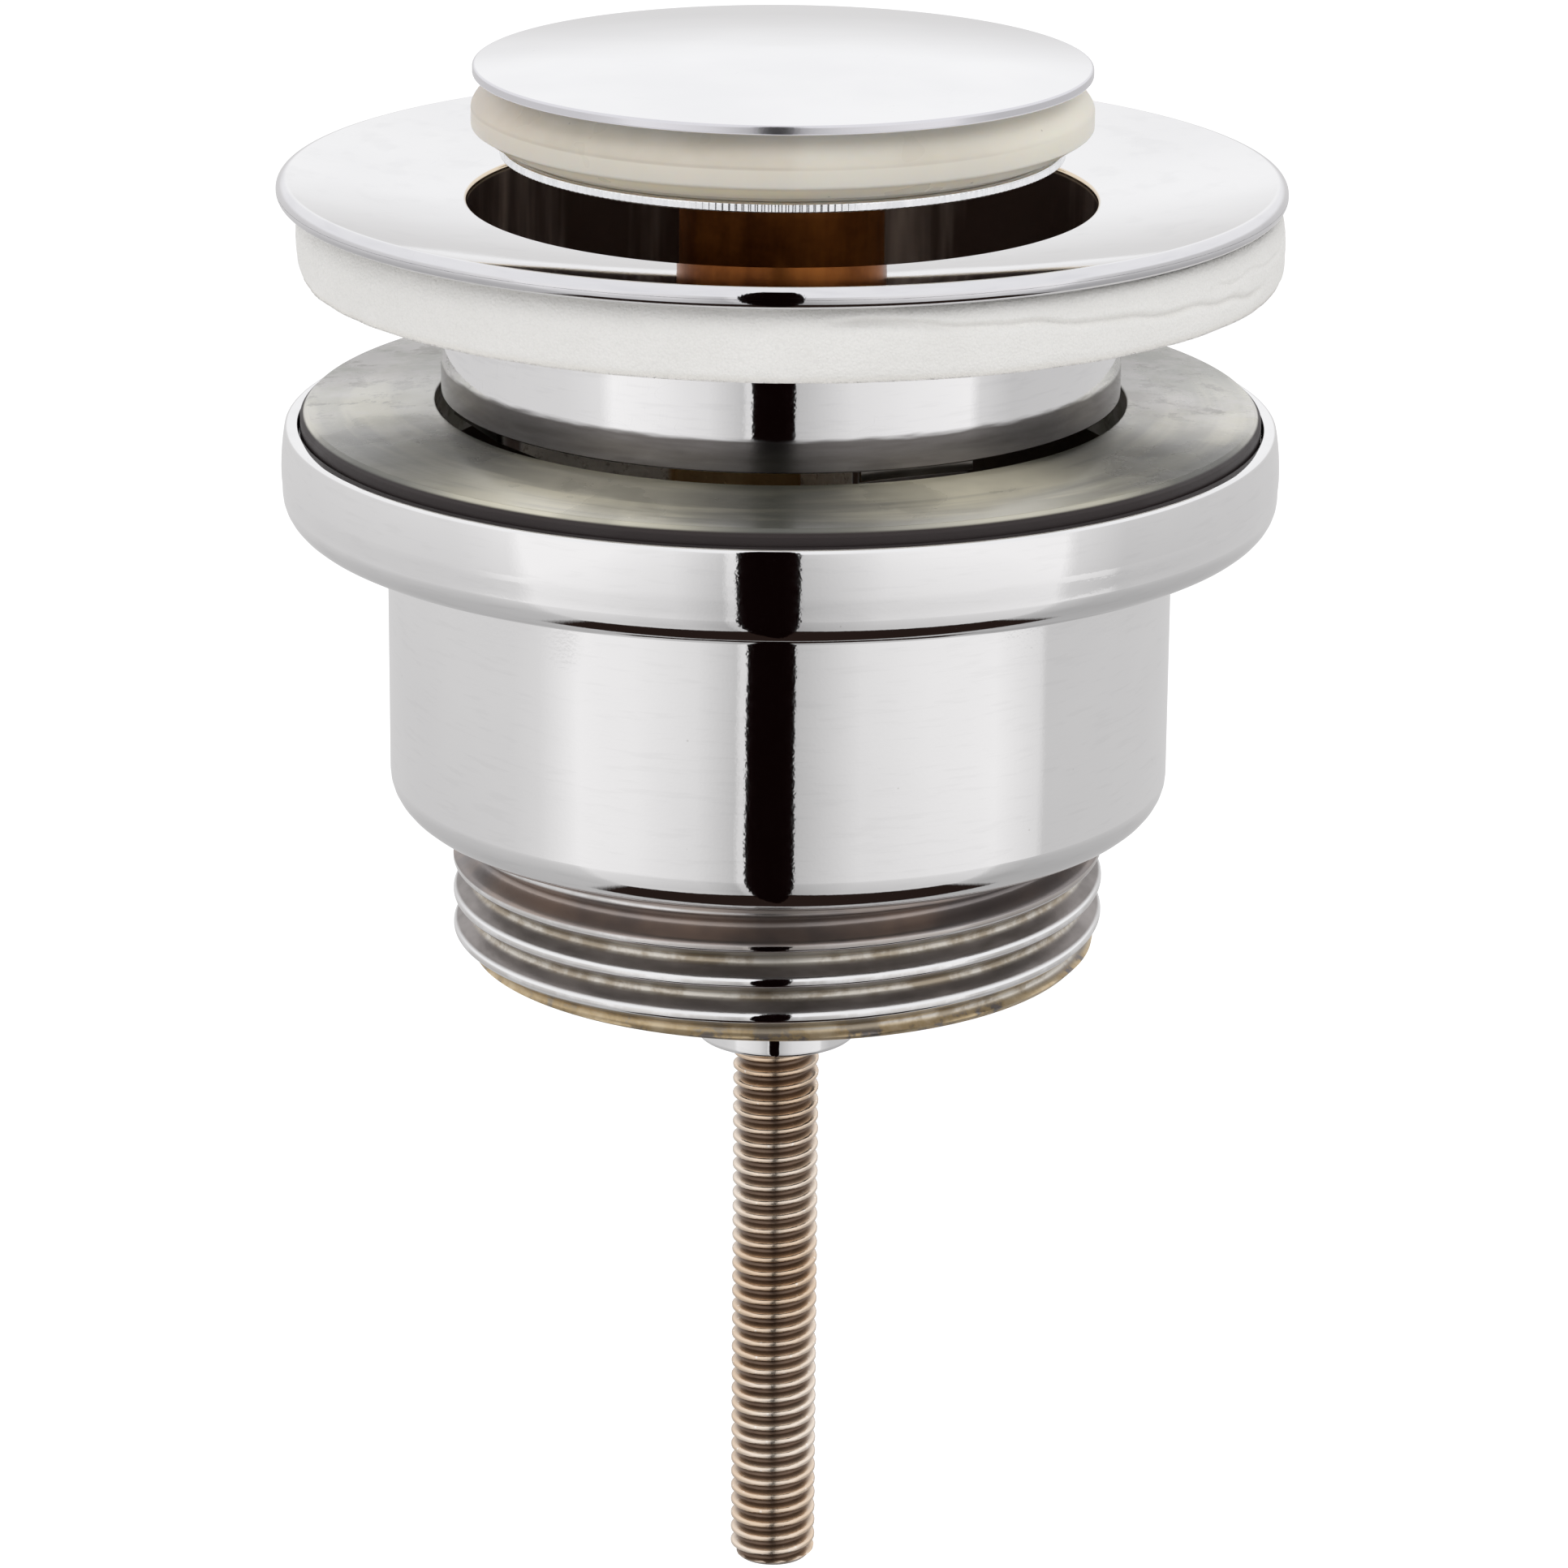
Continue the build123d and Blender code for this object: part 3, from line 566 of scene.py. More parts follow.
def grey_rubber(name):
    """Moulded grey-green rubber of the gasket, with bright fan-shaped painted reflections and dark painted
    gaps between them, a pale film that is partly painted sheen, painted light on its front-left and
    front-right with mottling, stains and dirt.
    """
    tree = Finish(name)
    along = tree.joined(tree.radius, tree.x * 0.12, tree.y * 0.12)
    cloud = tree.noise(260.0, 4.0, 0.6, point=along)
    fine = tree.noise(1400.0)
    stain = tree.noise(150.0, 3.0, 0.5).ramp(0.48, 0.64)
    # A pale film on the rubber, partly real and partly painted sheen
    bloom_and_sheen = tree.noise(330.0, 3.0, 0.55, 0.3, point=along).ramp(0.46, 0.62)
    side = tree.radius.ramp(0.03005, 0.03020)
    rings = tree.noise(1900.0, 3.0, 0.6, point=tree.joined(tree.radius))
    ringed = rings.ramp(0.42, 0.62) * tree.noise(60.0, 2.0).ramp(0.42, 0.60)
    sideways = tree.function("ARCTAN2", tree.x.size(), -tree.y)
    # Painted reflections: bright fan shapes round the gasket, by the angle from the front
    reflection_fans = tree.function("COSINE", sideways * reflection_fan_count - reflection_fan_phase) * 0.5 + 0.5
    # Painted light: patches at the front-left and front-right of the gasket, painted bright, with mottling
    # and real stains in them
    far = tree.x.size().ramp(0.015, 0.020) * tree.y.ramp(-0.010, -0.001)
    base = tree.layers(
        tree.mix(cloud.ramp(0.35, 0.65), (0.050, 0.050, 0.049), (0.165, 0.163, 0.150)),
        # pale film, brighter where the painted reflections lie
        (bloom_and_sheen * (0.25 + 0.6 * reflection_fans), (0.74, 0.70, 0.55)),
        # painted reflection, bright
        (reflection_fans * (0.50 + 0.3 * bloom_and_sheen), (0.92, 0.87, 0.68)),
        (ringed * 0.35, (0.30, 0.29, 0.26)),
        # painted reflection, dark between the bright ones
        ((1 - reflection_fans) * 0.65, (0.045, 0.047, 0.034)),
        (stain * 0.3, (0.060, 0.060, 0.060)),
        # painted light on the front sides
        (far * 0.45, (0.66, 0.67, 0.60)),
        (far * tree.noise(170.0, 4.0, 0.65).ramp(0.42, 0.60) * 0.5, (0.72, 0.68, 0.70)),
        (far * tree.noise(420.0, 5.0, 0.7).ramp(0.54, 0.64) * 0.6, (0.15, 0.13, 0.10)),
        (side, (0.022, 0.015, 0.015)),
    )
    rough = 0.22 + 0.12 * cloud + 0.05 * fine - 0.08 * stain + 0.25 * side
    normal = tree.bump(fine, 0.000012)
    normal = tree.bump(tree.noise(160.0, 2.0), 0.00008, normal)
    gloss = 0.55 + 0.45 * tree.noise(120.0).ramp(0.35, 0.6) - 0.4 * stain
    gloss = gloss * (1 - side) * (0.35 + 0.65 * reflection_fans)
    fixed = {"IOR": 1.48, "Coat IOR": 2.0, "Coat Roughness": 0.13}
    return tree.done(fixed, base, rough, normal, coat=gloss)


def white_foam(name):
    """Closed-cell foam: fine cells, faint yellowing of the lower edge, and a painted shadow along its top,
    under the flange.
    """
    tree = Finish(name)
    cell = tree.cells(5200.0)
    cloud = tree.noise(220.0)
    base = tree.layers(
        tree.mix(cloud, (0.85, 0.84, 0.815), (0.92, 0.91, 0.89)),
        (tree.z.ramp(0.0006, 0.0001) * 0.4, (0.90, 0.86, 0.80)),
        # Painted shadow: the top of the foam, under the flange, is darker
        (tree.z.ramp(0.0026, 0.0044) * 0.35, (0.70, 0.69, 0.67)),
        (cell.ramp(0.55, 0.95) * 0.25, (0.70, 0.69, 0.67)),
    )
    normal = tree.bump(cell.ramp(0.0, 0.8), -0.00005, strength=0.7)
    normal = tree.bump(tree.cells(9000.0), -0.00002, normal, 0.6)
    normal = tree.bump(cloud, 0.00025, normal)
    fixed = {"Subsurface Weight": 0.25, "Subsurface Radius": (1.0, 1.0, 1.0), "Subsurface Scale": 0.001}
    return tree.done(fixed, base, 0.85 + 0.1 * cloud, normal)


# Turned pieces

def rounded_section(corners, steps=8, support=0.05):
    """A closed half section in millimetres. Each corner is (radius, height, rounding)."""
    section = []
    for index, (radius, height, rounding) in enumerate(corners):
        here = Vector((radius, height))
        before = Vector(corners[index - 1][:2])
        after = Vector(corners[(index + 1) % len(corners)][:2])
        if rounding <= 0:
            section.append((radius, height))
            continue
        back = (before - here).normalized()
        forth = (after - here).normalized()
        half = back.angle(forth) / 2
        reach = rounding / tan(half)
        centre = here + (back + forth).normalized() * (rounding / sin(half))
        start = here + back * reach
        end = here + forth * reach
        if (before - start).length > 4 * support:
            section.append(tuple(start + back * support))
        first = atan2(start.y - centre.y, start.x - centre.x)
        swing = atan2(end.y - centre.y, end.x - centre.x) - first
        swing = (swing + pi) % (2 * pi) - pi
        for step in range(steps + 1):
            angle = first + swing * step / steps
            section.append((centre.x + rounding * cos(angle), centre.y + rounding * sin(angle)))
        if (after - end).length > 4 * support:
            section.append(tuple(end + forth * support))
    return section


def straight_rows(start, end, count):
    """Section points, without rounding, from start up to but not with end."""
    rows = []
    for index in range(count):
        share = index / count
        rows.append((start[0] + (end[0] - start[0]) * share, start[1] + (end[1] - start[1]) * share, 0))
    return rows


def turned(mesh, section, segments, closed=True, shift=None):
    """Adds a section turned round the axis to a bmesh. An open section starts and ends on the axis.
    shift moves a point, given as radius, height and angle, to a new radius and height."""
    rings = []
    for radius, height in section:
        if not closed and radius < 1e-6:
            rings.append([mesh.verts.new((0, 0, height * mm))])
            continue
        ring = []
        for index in range(segments):
            angle = 2 * pi * index / segments
            far, high = (radius, height) if shift is None else shift(radius, height, angle)
            ring.append(mesh.verts.new((far * cos(angle) * mm, far * sin(angle) * mm, high * mm)))
        rings.append(ring)
    pairs = list(zip(rings, rings[1:]))
    if closed:
        pairs.append((rings[-1], rings[0]))
    faces = []
    for low, high in pairs:
        for index in range(segments):
            after = (index + 1) % segments
            kept = []
            for ring, place in ((low, index), (low, after), (high, after), (high, index)):
                corner = ring[place % len(ring)]
                if corner not in kept:
                    kept.append(corner)
            faces.append(mesh.faces.new(kept))
    bmesh.ops.recalc_face_normals(mesh, faces=faces)


def tube(mesh, rings):
    """Adds a tube through rings of points, closed at both ends, to a bmesh."""
    faces = [mesh.faces.new(rings[0]), mesh.faces.new(rings[-1])]
    for low, high in zip(rings, rings[1:]):
        for index in range(len(low)):
            after = (index + 1) % len(low)
            faces.append(mesh.faces.new((low[index], low[after], high[after], high[index])))
    bmesh.ops.recalc_face_normals(mesh, faces=faces)


def placed(name, data):
    """A new object of the scene."""
    thing = bpy.data.objects.new(name, data)
    bpy.context.scene.collection.objects.link(thing)
    return thing


def smooth(data, sharp):
    """Smooths a mesh but for the edges sharper than an angle."""
    data.polygons.foreach_set("use_smooth", [True] * len(data.polygons))
    data.set_sharp_from_angle(angle=radians(sharp))


def piece_from(mesh, name, finish, sharp=soft_edge):
    """Turns a bmesh into an object."""
    data = bpy.data.meshes.new(name)
    mesh.to_mesh(data)
    mesh.free()
    smooth(data, sharp)
    data.materials.append(finish)
    return placed(name, data)


# Geometry Nodes trees

class Cutter(Tree):
    """A Geometry Nodes tree that works on a base mesh. keys names its inputs, all of one kind."""

    def __init__(self, name, kind, *keys):
        group = bpy.data.node_groups.new(name, "GeometryNodeTree")
        super().__init__(group)
        for key, form in (("Base", "Geometry"), *((key, kind) for key in keys), ("Finish", "Material")):
            group.interface.new_socket(key, in_out="INPUT", socket_type="NodeSocket" + form)
        group.interface.new_socket("Piece", in_out="OUTPUT", socket_type="NodeSocketGeometry")
        self.group = group
        self.entry = group.nodes.new("NodeGroupInput")

    def given(self, name):
        return Socket(self, self.entry.outputs[name])

    def moved_in(self, x, y, z, radius, target):
        """The base, each point of it at a new radius."""
        share = target / self.greatest(radius, 0.000001)
        values = {"Geometry": self.given("Base"), "Position": self.joined(x * share, y * share, z)}
        return self.add("GeometryNodeSetPosition", values)

    def finish(self, geometry):
        real = self.add("GeometryNodeRealizeInstances", {0: geometry})
        values = {"Geometry": real, "Material": self.given("Finish")}
        self.add("NodeGroupOutput", {0: self.add("GeometryNodeSetMaterial", values)})
        return self.group


def apply_tree(piece, group, values, sharp):
    """Runs a tree on a piece and keeps the result as its mesh."""
    modifier = piece.modifiers.new(group.name, "NODES")
    modifier.node_group = group
    for item in group.interface.items_tree:
        if item.item_type == "SOCKET" and item.in_out == "INPUT" and item.name in values:
            modifier[item.identifier] = values[item.name]
    bpy.context.view_layer.update()
    evaluated = piece.evaluated_get(bpy.context.evaluated_depsgraph_get())
    data = bpy.data.meshes.new_from_object(evaluated)
    piece.modifiers.clear()
    piece.data = data
    smooth(data, sharp)
    return piece


def thread_cutter():
    """Cuts a right-hand thread into a turned piece: a point moves in to the thread's surface."""
    tree = Cutter("cut_thread", "Float", "Crest radius", "Depth", "Pitch", "Phase", "High", "Low", "Run-out",
                  "Crest width", "Root width")
    x, y, z, radius, turn = tree.round_axis(tree.add("GeometryNodeInputPosition"))
    high = tree.given("High")
    low = tree.given("Low")
    place = tree.function("FRACT", z / tree.given("Pitch") - turn + tree.given("Phase"))
    slope = 2 * (place - 0.5).size()
    height = slope.ramp(tree.given("Root width"), 1 - tree.given("Crest width"))
    fade = z.ramp(high, high - tree.given("Run-out"), "LINEAR")
    floor = z.ramp(low - 0.00001, low, "LINEAR")
    surface = tree.given("Crest radius") - tree.given("Depth") * (1 - height) * fade * floor
    above = z.ramp(high - 0.000005, high, "LINEAR")
    target = tree.function("MINIMUM", radius, surface + above)
    return tree.finish(tree.moved_in(x, y, z, radius, target))


def edge_miller():
    """Mills teeth into the edge of a disc."""
    tree = Cutter("mill_edge", "Float", "Edge radius", "Depth", "Teeth")
    x, y, z, radius, turn = tree.round_axis(tree.add("GeometryNodeInputPosition"))
    wave = tree.function("COSINE", turn * tree.given("Teeth") * (2 * pi)) * 0.5 + 0.5
    edge = tree.given("Edge radius")
    near = radius.ramp(edge - 0.0006, edge - 0.0003)
    target = radius - tree.given("Depth") * near * wave ** 2.0
    return tree.finish(tree.moved_in(x, y, z, radius, target))


def ring_repeater():
    """Repeats a piece round the axis."""
    tree = Cutter("repeat_round_axis", "Int", "Count")
    points = tree.add("GeometryNodePoints", {"Count": tree.given("Count")})
    angle = tree.add("GeometryNodeInputIndex") * (2 * pi) / tree.given("Count")
    values = {"Points": points, "Instance": tree.given("Base"), "Rotation": tree.joined(z=angle)}
    return tree.finish(tree.add("GeometryNodeInstanceOnPoints", values))


# Pieces

def lower_body_shell(mesh):
    """Rim, cup and threaded outlet in one closed section."""
    rim_turn = rim_low + rim_corner
    bulge = []
    steps = 8
    for step in range(1, steps):
        height = rim_high + (rim_turn - rim_high) * step / steps
        end, radius = (rim_high, rim_top_radius) if height > rim_bulge else (rim_turn, rim_foot_radius)
        swell = 1 - ((height - rim_bulge) / (end - rim_bulge)) ** 2
        bulge.append((radius + (rim_bulge_radius - radius) * swell, height, 0))
    thread_end = outlet_low + outlet_chamfer
    chamfer_radius = outlet_radius - outlet_chamfer
    corners = [
        (rim_land_radius, gasket_seat, 0), (rim_land_radius, rim_high, 0.08),
        (rim_top_radius, rim_high, 0.25), *bulge,
        (rim_foot_radius, rim_low, rim_corner), (cup_radius, rim_low, 0.5), (cup_radius, cup_low, cup_corner),
        *straight_rows((outlet_radius, cup_low), (outlet_radius, thread_end), 96),
        *straight_rows((outlet_radius, thread_end), (chamfer_radius, outlet_low), 12),
        (chamfer_radius, outlet_low, 0), (outlet_bore, outlet_low, 0.2),
        (outlet_bore, cup_floor, 1.4), (cup_bore, cup_floor, 1.5), (cup_bore, gasket_seat, 0),
    ]
    turned(mesh, rounded_section(corners), 288)


def hub(mesh):
    """Domed hub with the bore for the screw."""
    corners = [(screw_bore, hub_high, 0.15), (hub_radius, hub_high, 0.8), (hub_radius, hub_low, 0.3),
               (screw_bore, hub_low, 0.15)]
    turned(mesh, rounded_section(corners), 64)


def arm(mesh, ends, turn, rounding):
    """One arm between two ends, each (radius, height, drop, width), with a rounded back."""
    rings = []
    for radius, high, drop, width in ends:
        outline = [(-width / 2, -drop), (-width / 2, -rounding)]
        for step in range(1, 6):
            angle = pi - step * pi / 12
            outline.append((-width / 2 + rounding + rounding * cos(angle), -rounding + rounding * sin(angle)))
        outline.append((-width / 2 + rounding, 0))
        outline += [(-across, down) for across, down in reversed(outline)]
        ring = []
        for across, down in outline:
            x = radius * cos(turn) - across * sin(turn)
            y = radius * sin(turn) + across * cos(turn)
            ring.append(mesh.verts.new((x * mm, y * mm, (high + down) * mm)))
        rings.append(ring)
    tube(mesh, rings)


def four_arms(whole, ends, turn, rounding, finish, repeater):
    """Adds four equal arms to a mesh."""
    mesh = bmesh.new()
    arm(mesh, ends, turn, rounding)
    arms = piece_from(mesh, "arms", finish)
    apply_tree(arms, repeater, {"Count": 4, "Finish": finish}, soft_edge)
    whole.from_mesh(arms.data)
    bpy.data.objects.remove(arms)


def cut_thread(piece, cutter, finish, radius, depth, pitch, phase, high, low, run_out, crest, root):
    """Cuts a thread into a turned piece. Lengths are in millimetres, crest and root parts of the pitch."""
    lengths = {"Crest radius": radius, "Depth": depth, "Pitch": pitch, "High": high, "Low": low}
    lengths["Run-out"] = run_out
    values = {key: length * mm for key, length in lengths.items()}
    values.update({"Phase": phase, "Crest width": crest, "Root width": root, "Finish": finish})
    return apply_tree(piece, cutter, values, metal_edge)


def make_lower_body(finish, cutter, repeater):
    shell_mesh = bmesh.new()
    lower_body_shell(shell_mesh)
    shell = piece_from(shell_mesh, "lower_body_casting", finish)
    cut_thread(shell, cutter, finish, outlet_radius, outlet_depth, outlet_pitch, outlet_phase,
               high=cup_low - thread_start, low=outlet_low - 1, run_out=0.5, crest=0.07, root=0.05)
    whole = bmesh.new()
    whole.from_mesh(shell.data)
    four_arms(whole, spoke_ends, 0.0, spoke_rounding, finish, repeater)
    hub(whole)
    bpy.data.objects.remove(shell)
    return piece_from(whole, "lower_body_casting", finish, metal_edge)


def make_flange(finish, repeater):
    """Dished plate and collar in one section, with the bridge arms and the boss."""
    whole = bmesh.new()
    edge = flange_radius - flange_skin
    corners = [(flange_bore, collar_low, 0.1), (collar_radius, collar_low, 0.1)]
    corners += [(collar_radius, plate_low, collar_fillet)]
    corners += [(edge, flange_low, flange_rounding), (edge, flange_crest, flange_rounding)]
    rows = 24
    for row in range(2, rows):
        share = row / rows
        height = flange_crest + (hole_edge - flange_crest) * share - 4 * dish_sag * share * (1 - share)
        corners.append((edge + (flange_bore - edge) * share, height, 0))
    corners.append((flange_bore, hole_edge, hole_rounding))
    turned(whole, rounded_section(corners, steps=12), 480)
    four_arms(whole, bridge_ends, radians(arm_turn), arm_rounding, finish, repeater)
    corners = [
        (boss_bore, boss_high, 0.1), (boss_radius, boss_high, 0.25), (boss_radius, boss_waist, 0),
        (boss_foot, boss_low, 0.8), (screw_bore, boss_low, 0.1), (screw_bore, recess_floor, 0),
        (recess_bore, recess_floor, 0), (recess_bore, core_base_low, 0), (core_base_bore, core_base_low, 0),
        (core_base_bore, core_base_high, 0), (boss_bore, core_base_high, 0),
    ]
    turned(whole, rounded_section(corners), 96)
    return piece_from(whole, "flange_casting", finish, metal_edge)


def make_clamp_screw(finish, cutter):
    """Screw with a socket head. The shank has 16 rows to a turn of its thread."""
    mesh = bmesh.new()
    apothem = socket_across_flats / 2
    floor = screw_head_high - socket_depth
    section = [
        (0, floor), (apothem * 0.5, floor), (apothem, floor), (apothem, screw_head_high),
        (screw_head_radius - screw_head_edge, screw_head_high),
        (screw_head_radius, screw_head_high - screw_head_edge), (screw_head_radius, screw_head_low),
        (screw_radius, screw_head_low),
    ]
    rows = round((screw_head_low - screw_low) * 16)
    for row in range(1, rows):
        height = screw_head_low + (screw_low - screw_head_low) * row / rows
        section.append((screw_radius - max(0.0, screw_chamfer - (height - screw_low)), height))
    section += [(screw_radius - screw_chamfer, screw_low), (0, screw_low)]

    def hexagon(radius, height, angle):
        if radius != apothem:
            return radius, height
        off = (angle + pi / 6) % (pi / 3) - pi / 6
        return apothem / cos(off), height

    turned(mesh, section, 48, closed=False, shift=hexagon)
    piece = piece_from(mesh, "clamp_screw_threaded", finish)
    return cut_thread(piece, cutter, finish, screw_radius, screw_depth, screw_pitch, 0.0,
                      high=screw_head_low - screw_run_out, low=screw_low - 1, run_out=screw_run_out,
                      crest=screw_flat, root=screw_flat)


def make_disc(finish, miller):
    """Thin disc with a milled edge. Rows of points beside the edge keep its face flat."""
    mesh = bmesh.new()
    inner_row, outer_row = [disc_radius - row for row in disc_rows]
    corners = [(disc_bore, disc_low, 0), (inner_row, disc_low, 0), (outer_row, disc_low, 0)]
    corners += [(disc_radius, disc_low, disc_rounding), (disc_radius, disc_high, disc_rounding)]
    corners += [(outer_row, disc_high, 0), (inner_row, disc_high, 0), (disc_bore, disc_high, 0)]
    turned(mesh, rounded_section(corners, steps=3), 1080)
    piece = piece_from(mesh, "retaining_disc_milled", finish)
    values = {"Edge radius": disc_radius * mm, "Depth": tooth_depth * mm, "Teeth": tooth_count}
    return apply_tree(piece, miller, {**values, "Finish": finish}, metal_edge)


def make_seal(finish):
    """Flared silicone seal, a little wavy along its lip."""
    mesh = bmesh.new()
    corners = [(seal_bore, seal_high, 0)]
    wall = 14
    for step in range(wall + 1):
        share = step / wall
        height = seal_high + (seal_lip_high - seal_high) * share
        flare = share * share * (3 - 2 * share)
        corners.append((seal_top_radius + (seal_lip_radius - seal_top_radius) * flare, height, 0))
    notch = seal_low + seal_notch
    foot = disc_radius - seal_inset
    corners += [(seal_lip_radius, seal_lip_low, 0.22), (disc_radius + seal_notch, notch, 0.08)]
    corners += [(foot, notch, 0), (foot, seal_low, 0.05), (seal_bore, seal_low, 0)]

    def wavy(radius, height, angle):
        sway = noise.noise(Vector((3 * cos(angle), 3 * sin(angle), height * 0.2)))
        grow = max(0.0, (radius - seal_bore) / (seal_lip_radius - seal_bore))
        return radius - seal_wave * grow * (1 + sway), height

    turned(mesh, rounded_section(corners, steps=5), 240, shift=wavy)
    return piece_from(mesh, "plug_seal_silicone", finish)


def make_spring(finish):
    """Wound wire of the latch spring, as high and as wide as its CAD node."""
    foot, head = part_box("latch_spring")
    wire = wire_radius * mm
    rise = head.z - foot.z - 2 * wire
    steps = coil_turns * coil_steps
    mesh = bmesh.new()
    rings = []
    for step in range(steps + 1):
        angle = 2 * pi * coil_turns * step / steps
        ring = []
        for index in range(wire_sides):
            turn = 2 * pi * index / wire_sides
            far = head.x - wire + wire * cos(turn)
            high = foot.z + wire + rise * step / steps + wire * sin(turn)
            ring.append(mesh.verts.new((far * cos(angle), far * sin(angle), high)))
        rings.append(ring)
    tube(mesh, rings)
    return piece_from(mesh, "latch_spring_wound", finish)


def make_gasket(finish):
    """Rubber gasket with a soft bevel and a slightly uneven rim."""
    mesh = bmesh.new()
    bevel = gasket_radius - gasket_bevel
    foot = gasket_seat + gasket_gap
    slope = (gasket_outer_high - gasket_inner_high) / (gasket_radius - gasket_bore)
    corners = [(gasket_bore, gasket_inner_high - 1.2, 0), (gasket_lip, gasket_inner_high - 0.35, 0.1)]
    corners.append((gasket_lip, gasket_inner_high, 0.12))
    steps = 10
    for step in range(1, steps):
        radius = gasket_bore + (bevel - gasket_bore) * step / steps
        dip = 0.05 * sin(pi * step / steps)
        corners.append((radius, gasket_inner_high + slope * (radius - gasket_bore) - dip, 0))
    corners.append((bevel, gasket_inner_high + slope * (bevel - gasket_bore), 0.08))
    corners += [(gasket_radius, gasket_outer_high - 0.40, 0.12), (gasket_radius, foot, 0.1)]
    corners.append((gasket_bore + 0.60, foot, 0.2))

    def uneven(radius, height, angle):
        sway = noise.noise(Vector((2.2 * cos(angle), 2.2 * sin(angle), radius * 0.15)))
        lift = gasket_wave * sway if height > gasket_outer_high - 0.5 else 0.0
        return radius, height - gasket_wave + lift

    turned(mesh, rounded_section(corners, steps=5), 288, shift=uneven)
    return piece_from(mesh, "body_gasket_moulded", finish)


def foam_crease(angle, height):
    """Depth in millimetres of the splits in the foam's outer wall."""
    front = (angle - 1.5 * pi + pi) % (2 * pi) - pi
    depth = 0.0
    for first, last, level, rise, width, deep in foam_creases:
        if first < front < last:
            inside = min(front - first, last - front) / 0.06
            share = (front - first) / (last - first)
            wander = crease_wander * noise.noise(Vector((front * 11, level * 5, 0.3)))
            middle = level + rise * share + wander
            depth += deep * min(1.0, inside) * 2.718 ** (-(((height - middle) / width) ** 2))
    return depth


def make_foam(finish):
    """Soft foam ring: crowned outside, uneven, split along a few lines."""
    mesh = bmesh.new()
    wall = foam_radius - 0.2
    outer_high = plate_low + cone_slope * (foam_radius - collar_radius) - foam_gap
    inner_high = plate_low + cone_slope * (foam_bore - collar_radius) - foam_gap
    corners = [(foam_bore, 0.0, 0.15), (wall, 0.0, 0)]
    rows = 56
    for row in range(1, rows):
        share = row / rows
        fall = foam_edge_fall * (abs(2 * share - 1) ** 8) + foam_top_fall * max(0.0, (share - 0.6) / 0.4) ** 2
        corners.append((foam_radius + foam_crown * sin(pi * share) - fall, outer_high * share, 0))
    corners += [(wall, outer_high, 0), (foam_bore + 1.0, inner_high + cone_slope, 0.2)]
    corners.append((foam_bore, inner_high - 0.9, 0.2))

    def lumpy(radius, height, angle):
        if radius < foam_radius - 0.6:
            return radius, height
        place = Vector((radius * cos(angle), radius * sin(angle), height))
        lump = sum(high * noise.noise(place * scale) for high, scale in foam_lumps)
        aside = foam_shift * cos(angle)
        return radius - 0.05 + min(0.05, lump) - foam_crease(angle, height) + aside, height

    turned(mesh, rounded_section(corners, steps=4), 480, shift=lumpy)
    return piece_from(mesh, "foam_washer_soft", finish, 180.0)


# Materials and pieces together
inner_finish = worn_brass("cartridge_brass", (0.42, 0.29, 0.12), (0.62, 0.47, 0.24))
spring_finish = spring_steel("drawn_spring_steel")
kept_nodes = {
    "plug_cap": polished_chrome("cap_chrome"),
    "push_sleeve": worn_brass("brown_sleeve_brass", (0.18, 0.048, 0.006), (0.47, 0.152, 0.026), 0.20, 0.75),
    "sleeve_clip": spring_finish,
    "latch_ring": inner_finish,
    "latch_pins": spring_finish,
    "latch_core": inner_finish,
    "core_o_ring": black_rubber("black_ring_rubber"),
    "screw_washer": spring_finish,
}
for node_name, finish in kept_nodes.items():
    for slot in nodes[node_name].material_slots:
        slot.material = finish

cutter = thread_cutter()
repeater = ring_repeater()
made = (
    (make_flange(flange_chrome("flange_and_bridge_chrome"), repeater), "fixed", "flange", "body_chrome"),
    (make_lower_body(body_chrome("lower_body_chrome"), cutter, repeater),
     "lower", "lower_body", "body_chrome"),
    (make_clamp_screw(screw_brass("nickelled_screw_brass"), cutter), "screw", "clamp_screw", "screw_brass"),
    (make_disc(disc_steel("bright_disc_steel"), edge_miller()), "plug", "retaining_disc", "disc_steel"),
    (make_seal(clear_silicone("cream_silicone")), "plug", "plug_seal", "clear_silicone"),
    (make_gasket(grey_rubber("grey_gasket_rubber")), "lower", "body_gasket", "grey_rubber"),
    (make_foam(white_foam("white_cell_foam")), "fixed", "foam_washer", "white_foam"),
    (make_spring(spring_finish), "fixed", "latch_spring", "spring_steel"),
)
for piece, body, node_name, slot_name in made:
    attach(piece, body)
    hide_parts(node_name)
    node_name == "foam_washer"
    if node_name == "latch_spring":
        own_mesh(piece)


# Studio: white all round, with panels that only the polished metal reflects

# What polished metal shows of the room: brightness by direction round the axis and by height, in degrees
chrome_colour = 0.85
panel_brightness = (
    (-180, 0.555), (-78, 0.62), (-63, 0.68), (-58, 0.83), (-42, 0.79), (-24, 0.69), (-12.5, 0.50),
    (-11, 0.67), (-10, 0.67), (5, 0.46), (24, 0.69), (45, 0.77), (66, 0.82), (70, 0.63), (84, 0.52),
    (180, 0.555),
)
low_brightness = (
    (-180, 0.555), (-84, 0.60), (-74, 0.64), (-60, 0.82), (-42, 0.79), (-24, 0.68), (-12.5, 0.50),
    (-11, 0.67), (-10, 0.67), (5, 0.46), (24, 0.69), (45, 0.77), (66, 0.81), (82, 0.67), (84.5, 0.54),
    (180, 0.555),
)
height_brightness = ((-90, 0.62), (-45, 0.60), (-27, 0.69), (-17, 0.835), (-5, 0.885), (5, 0.95), (90, 0.95))

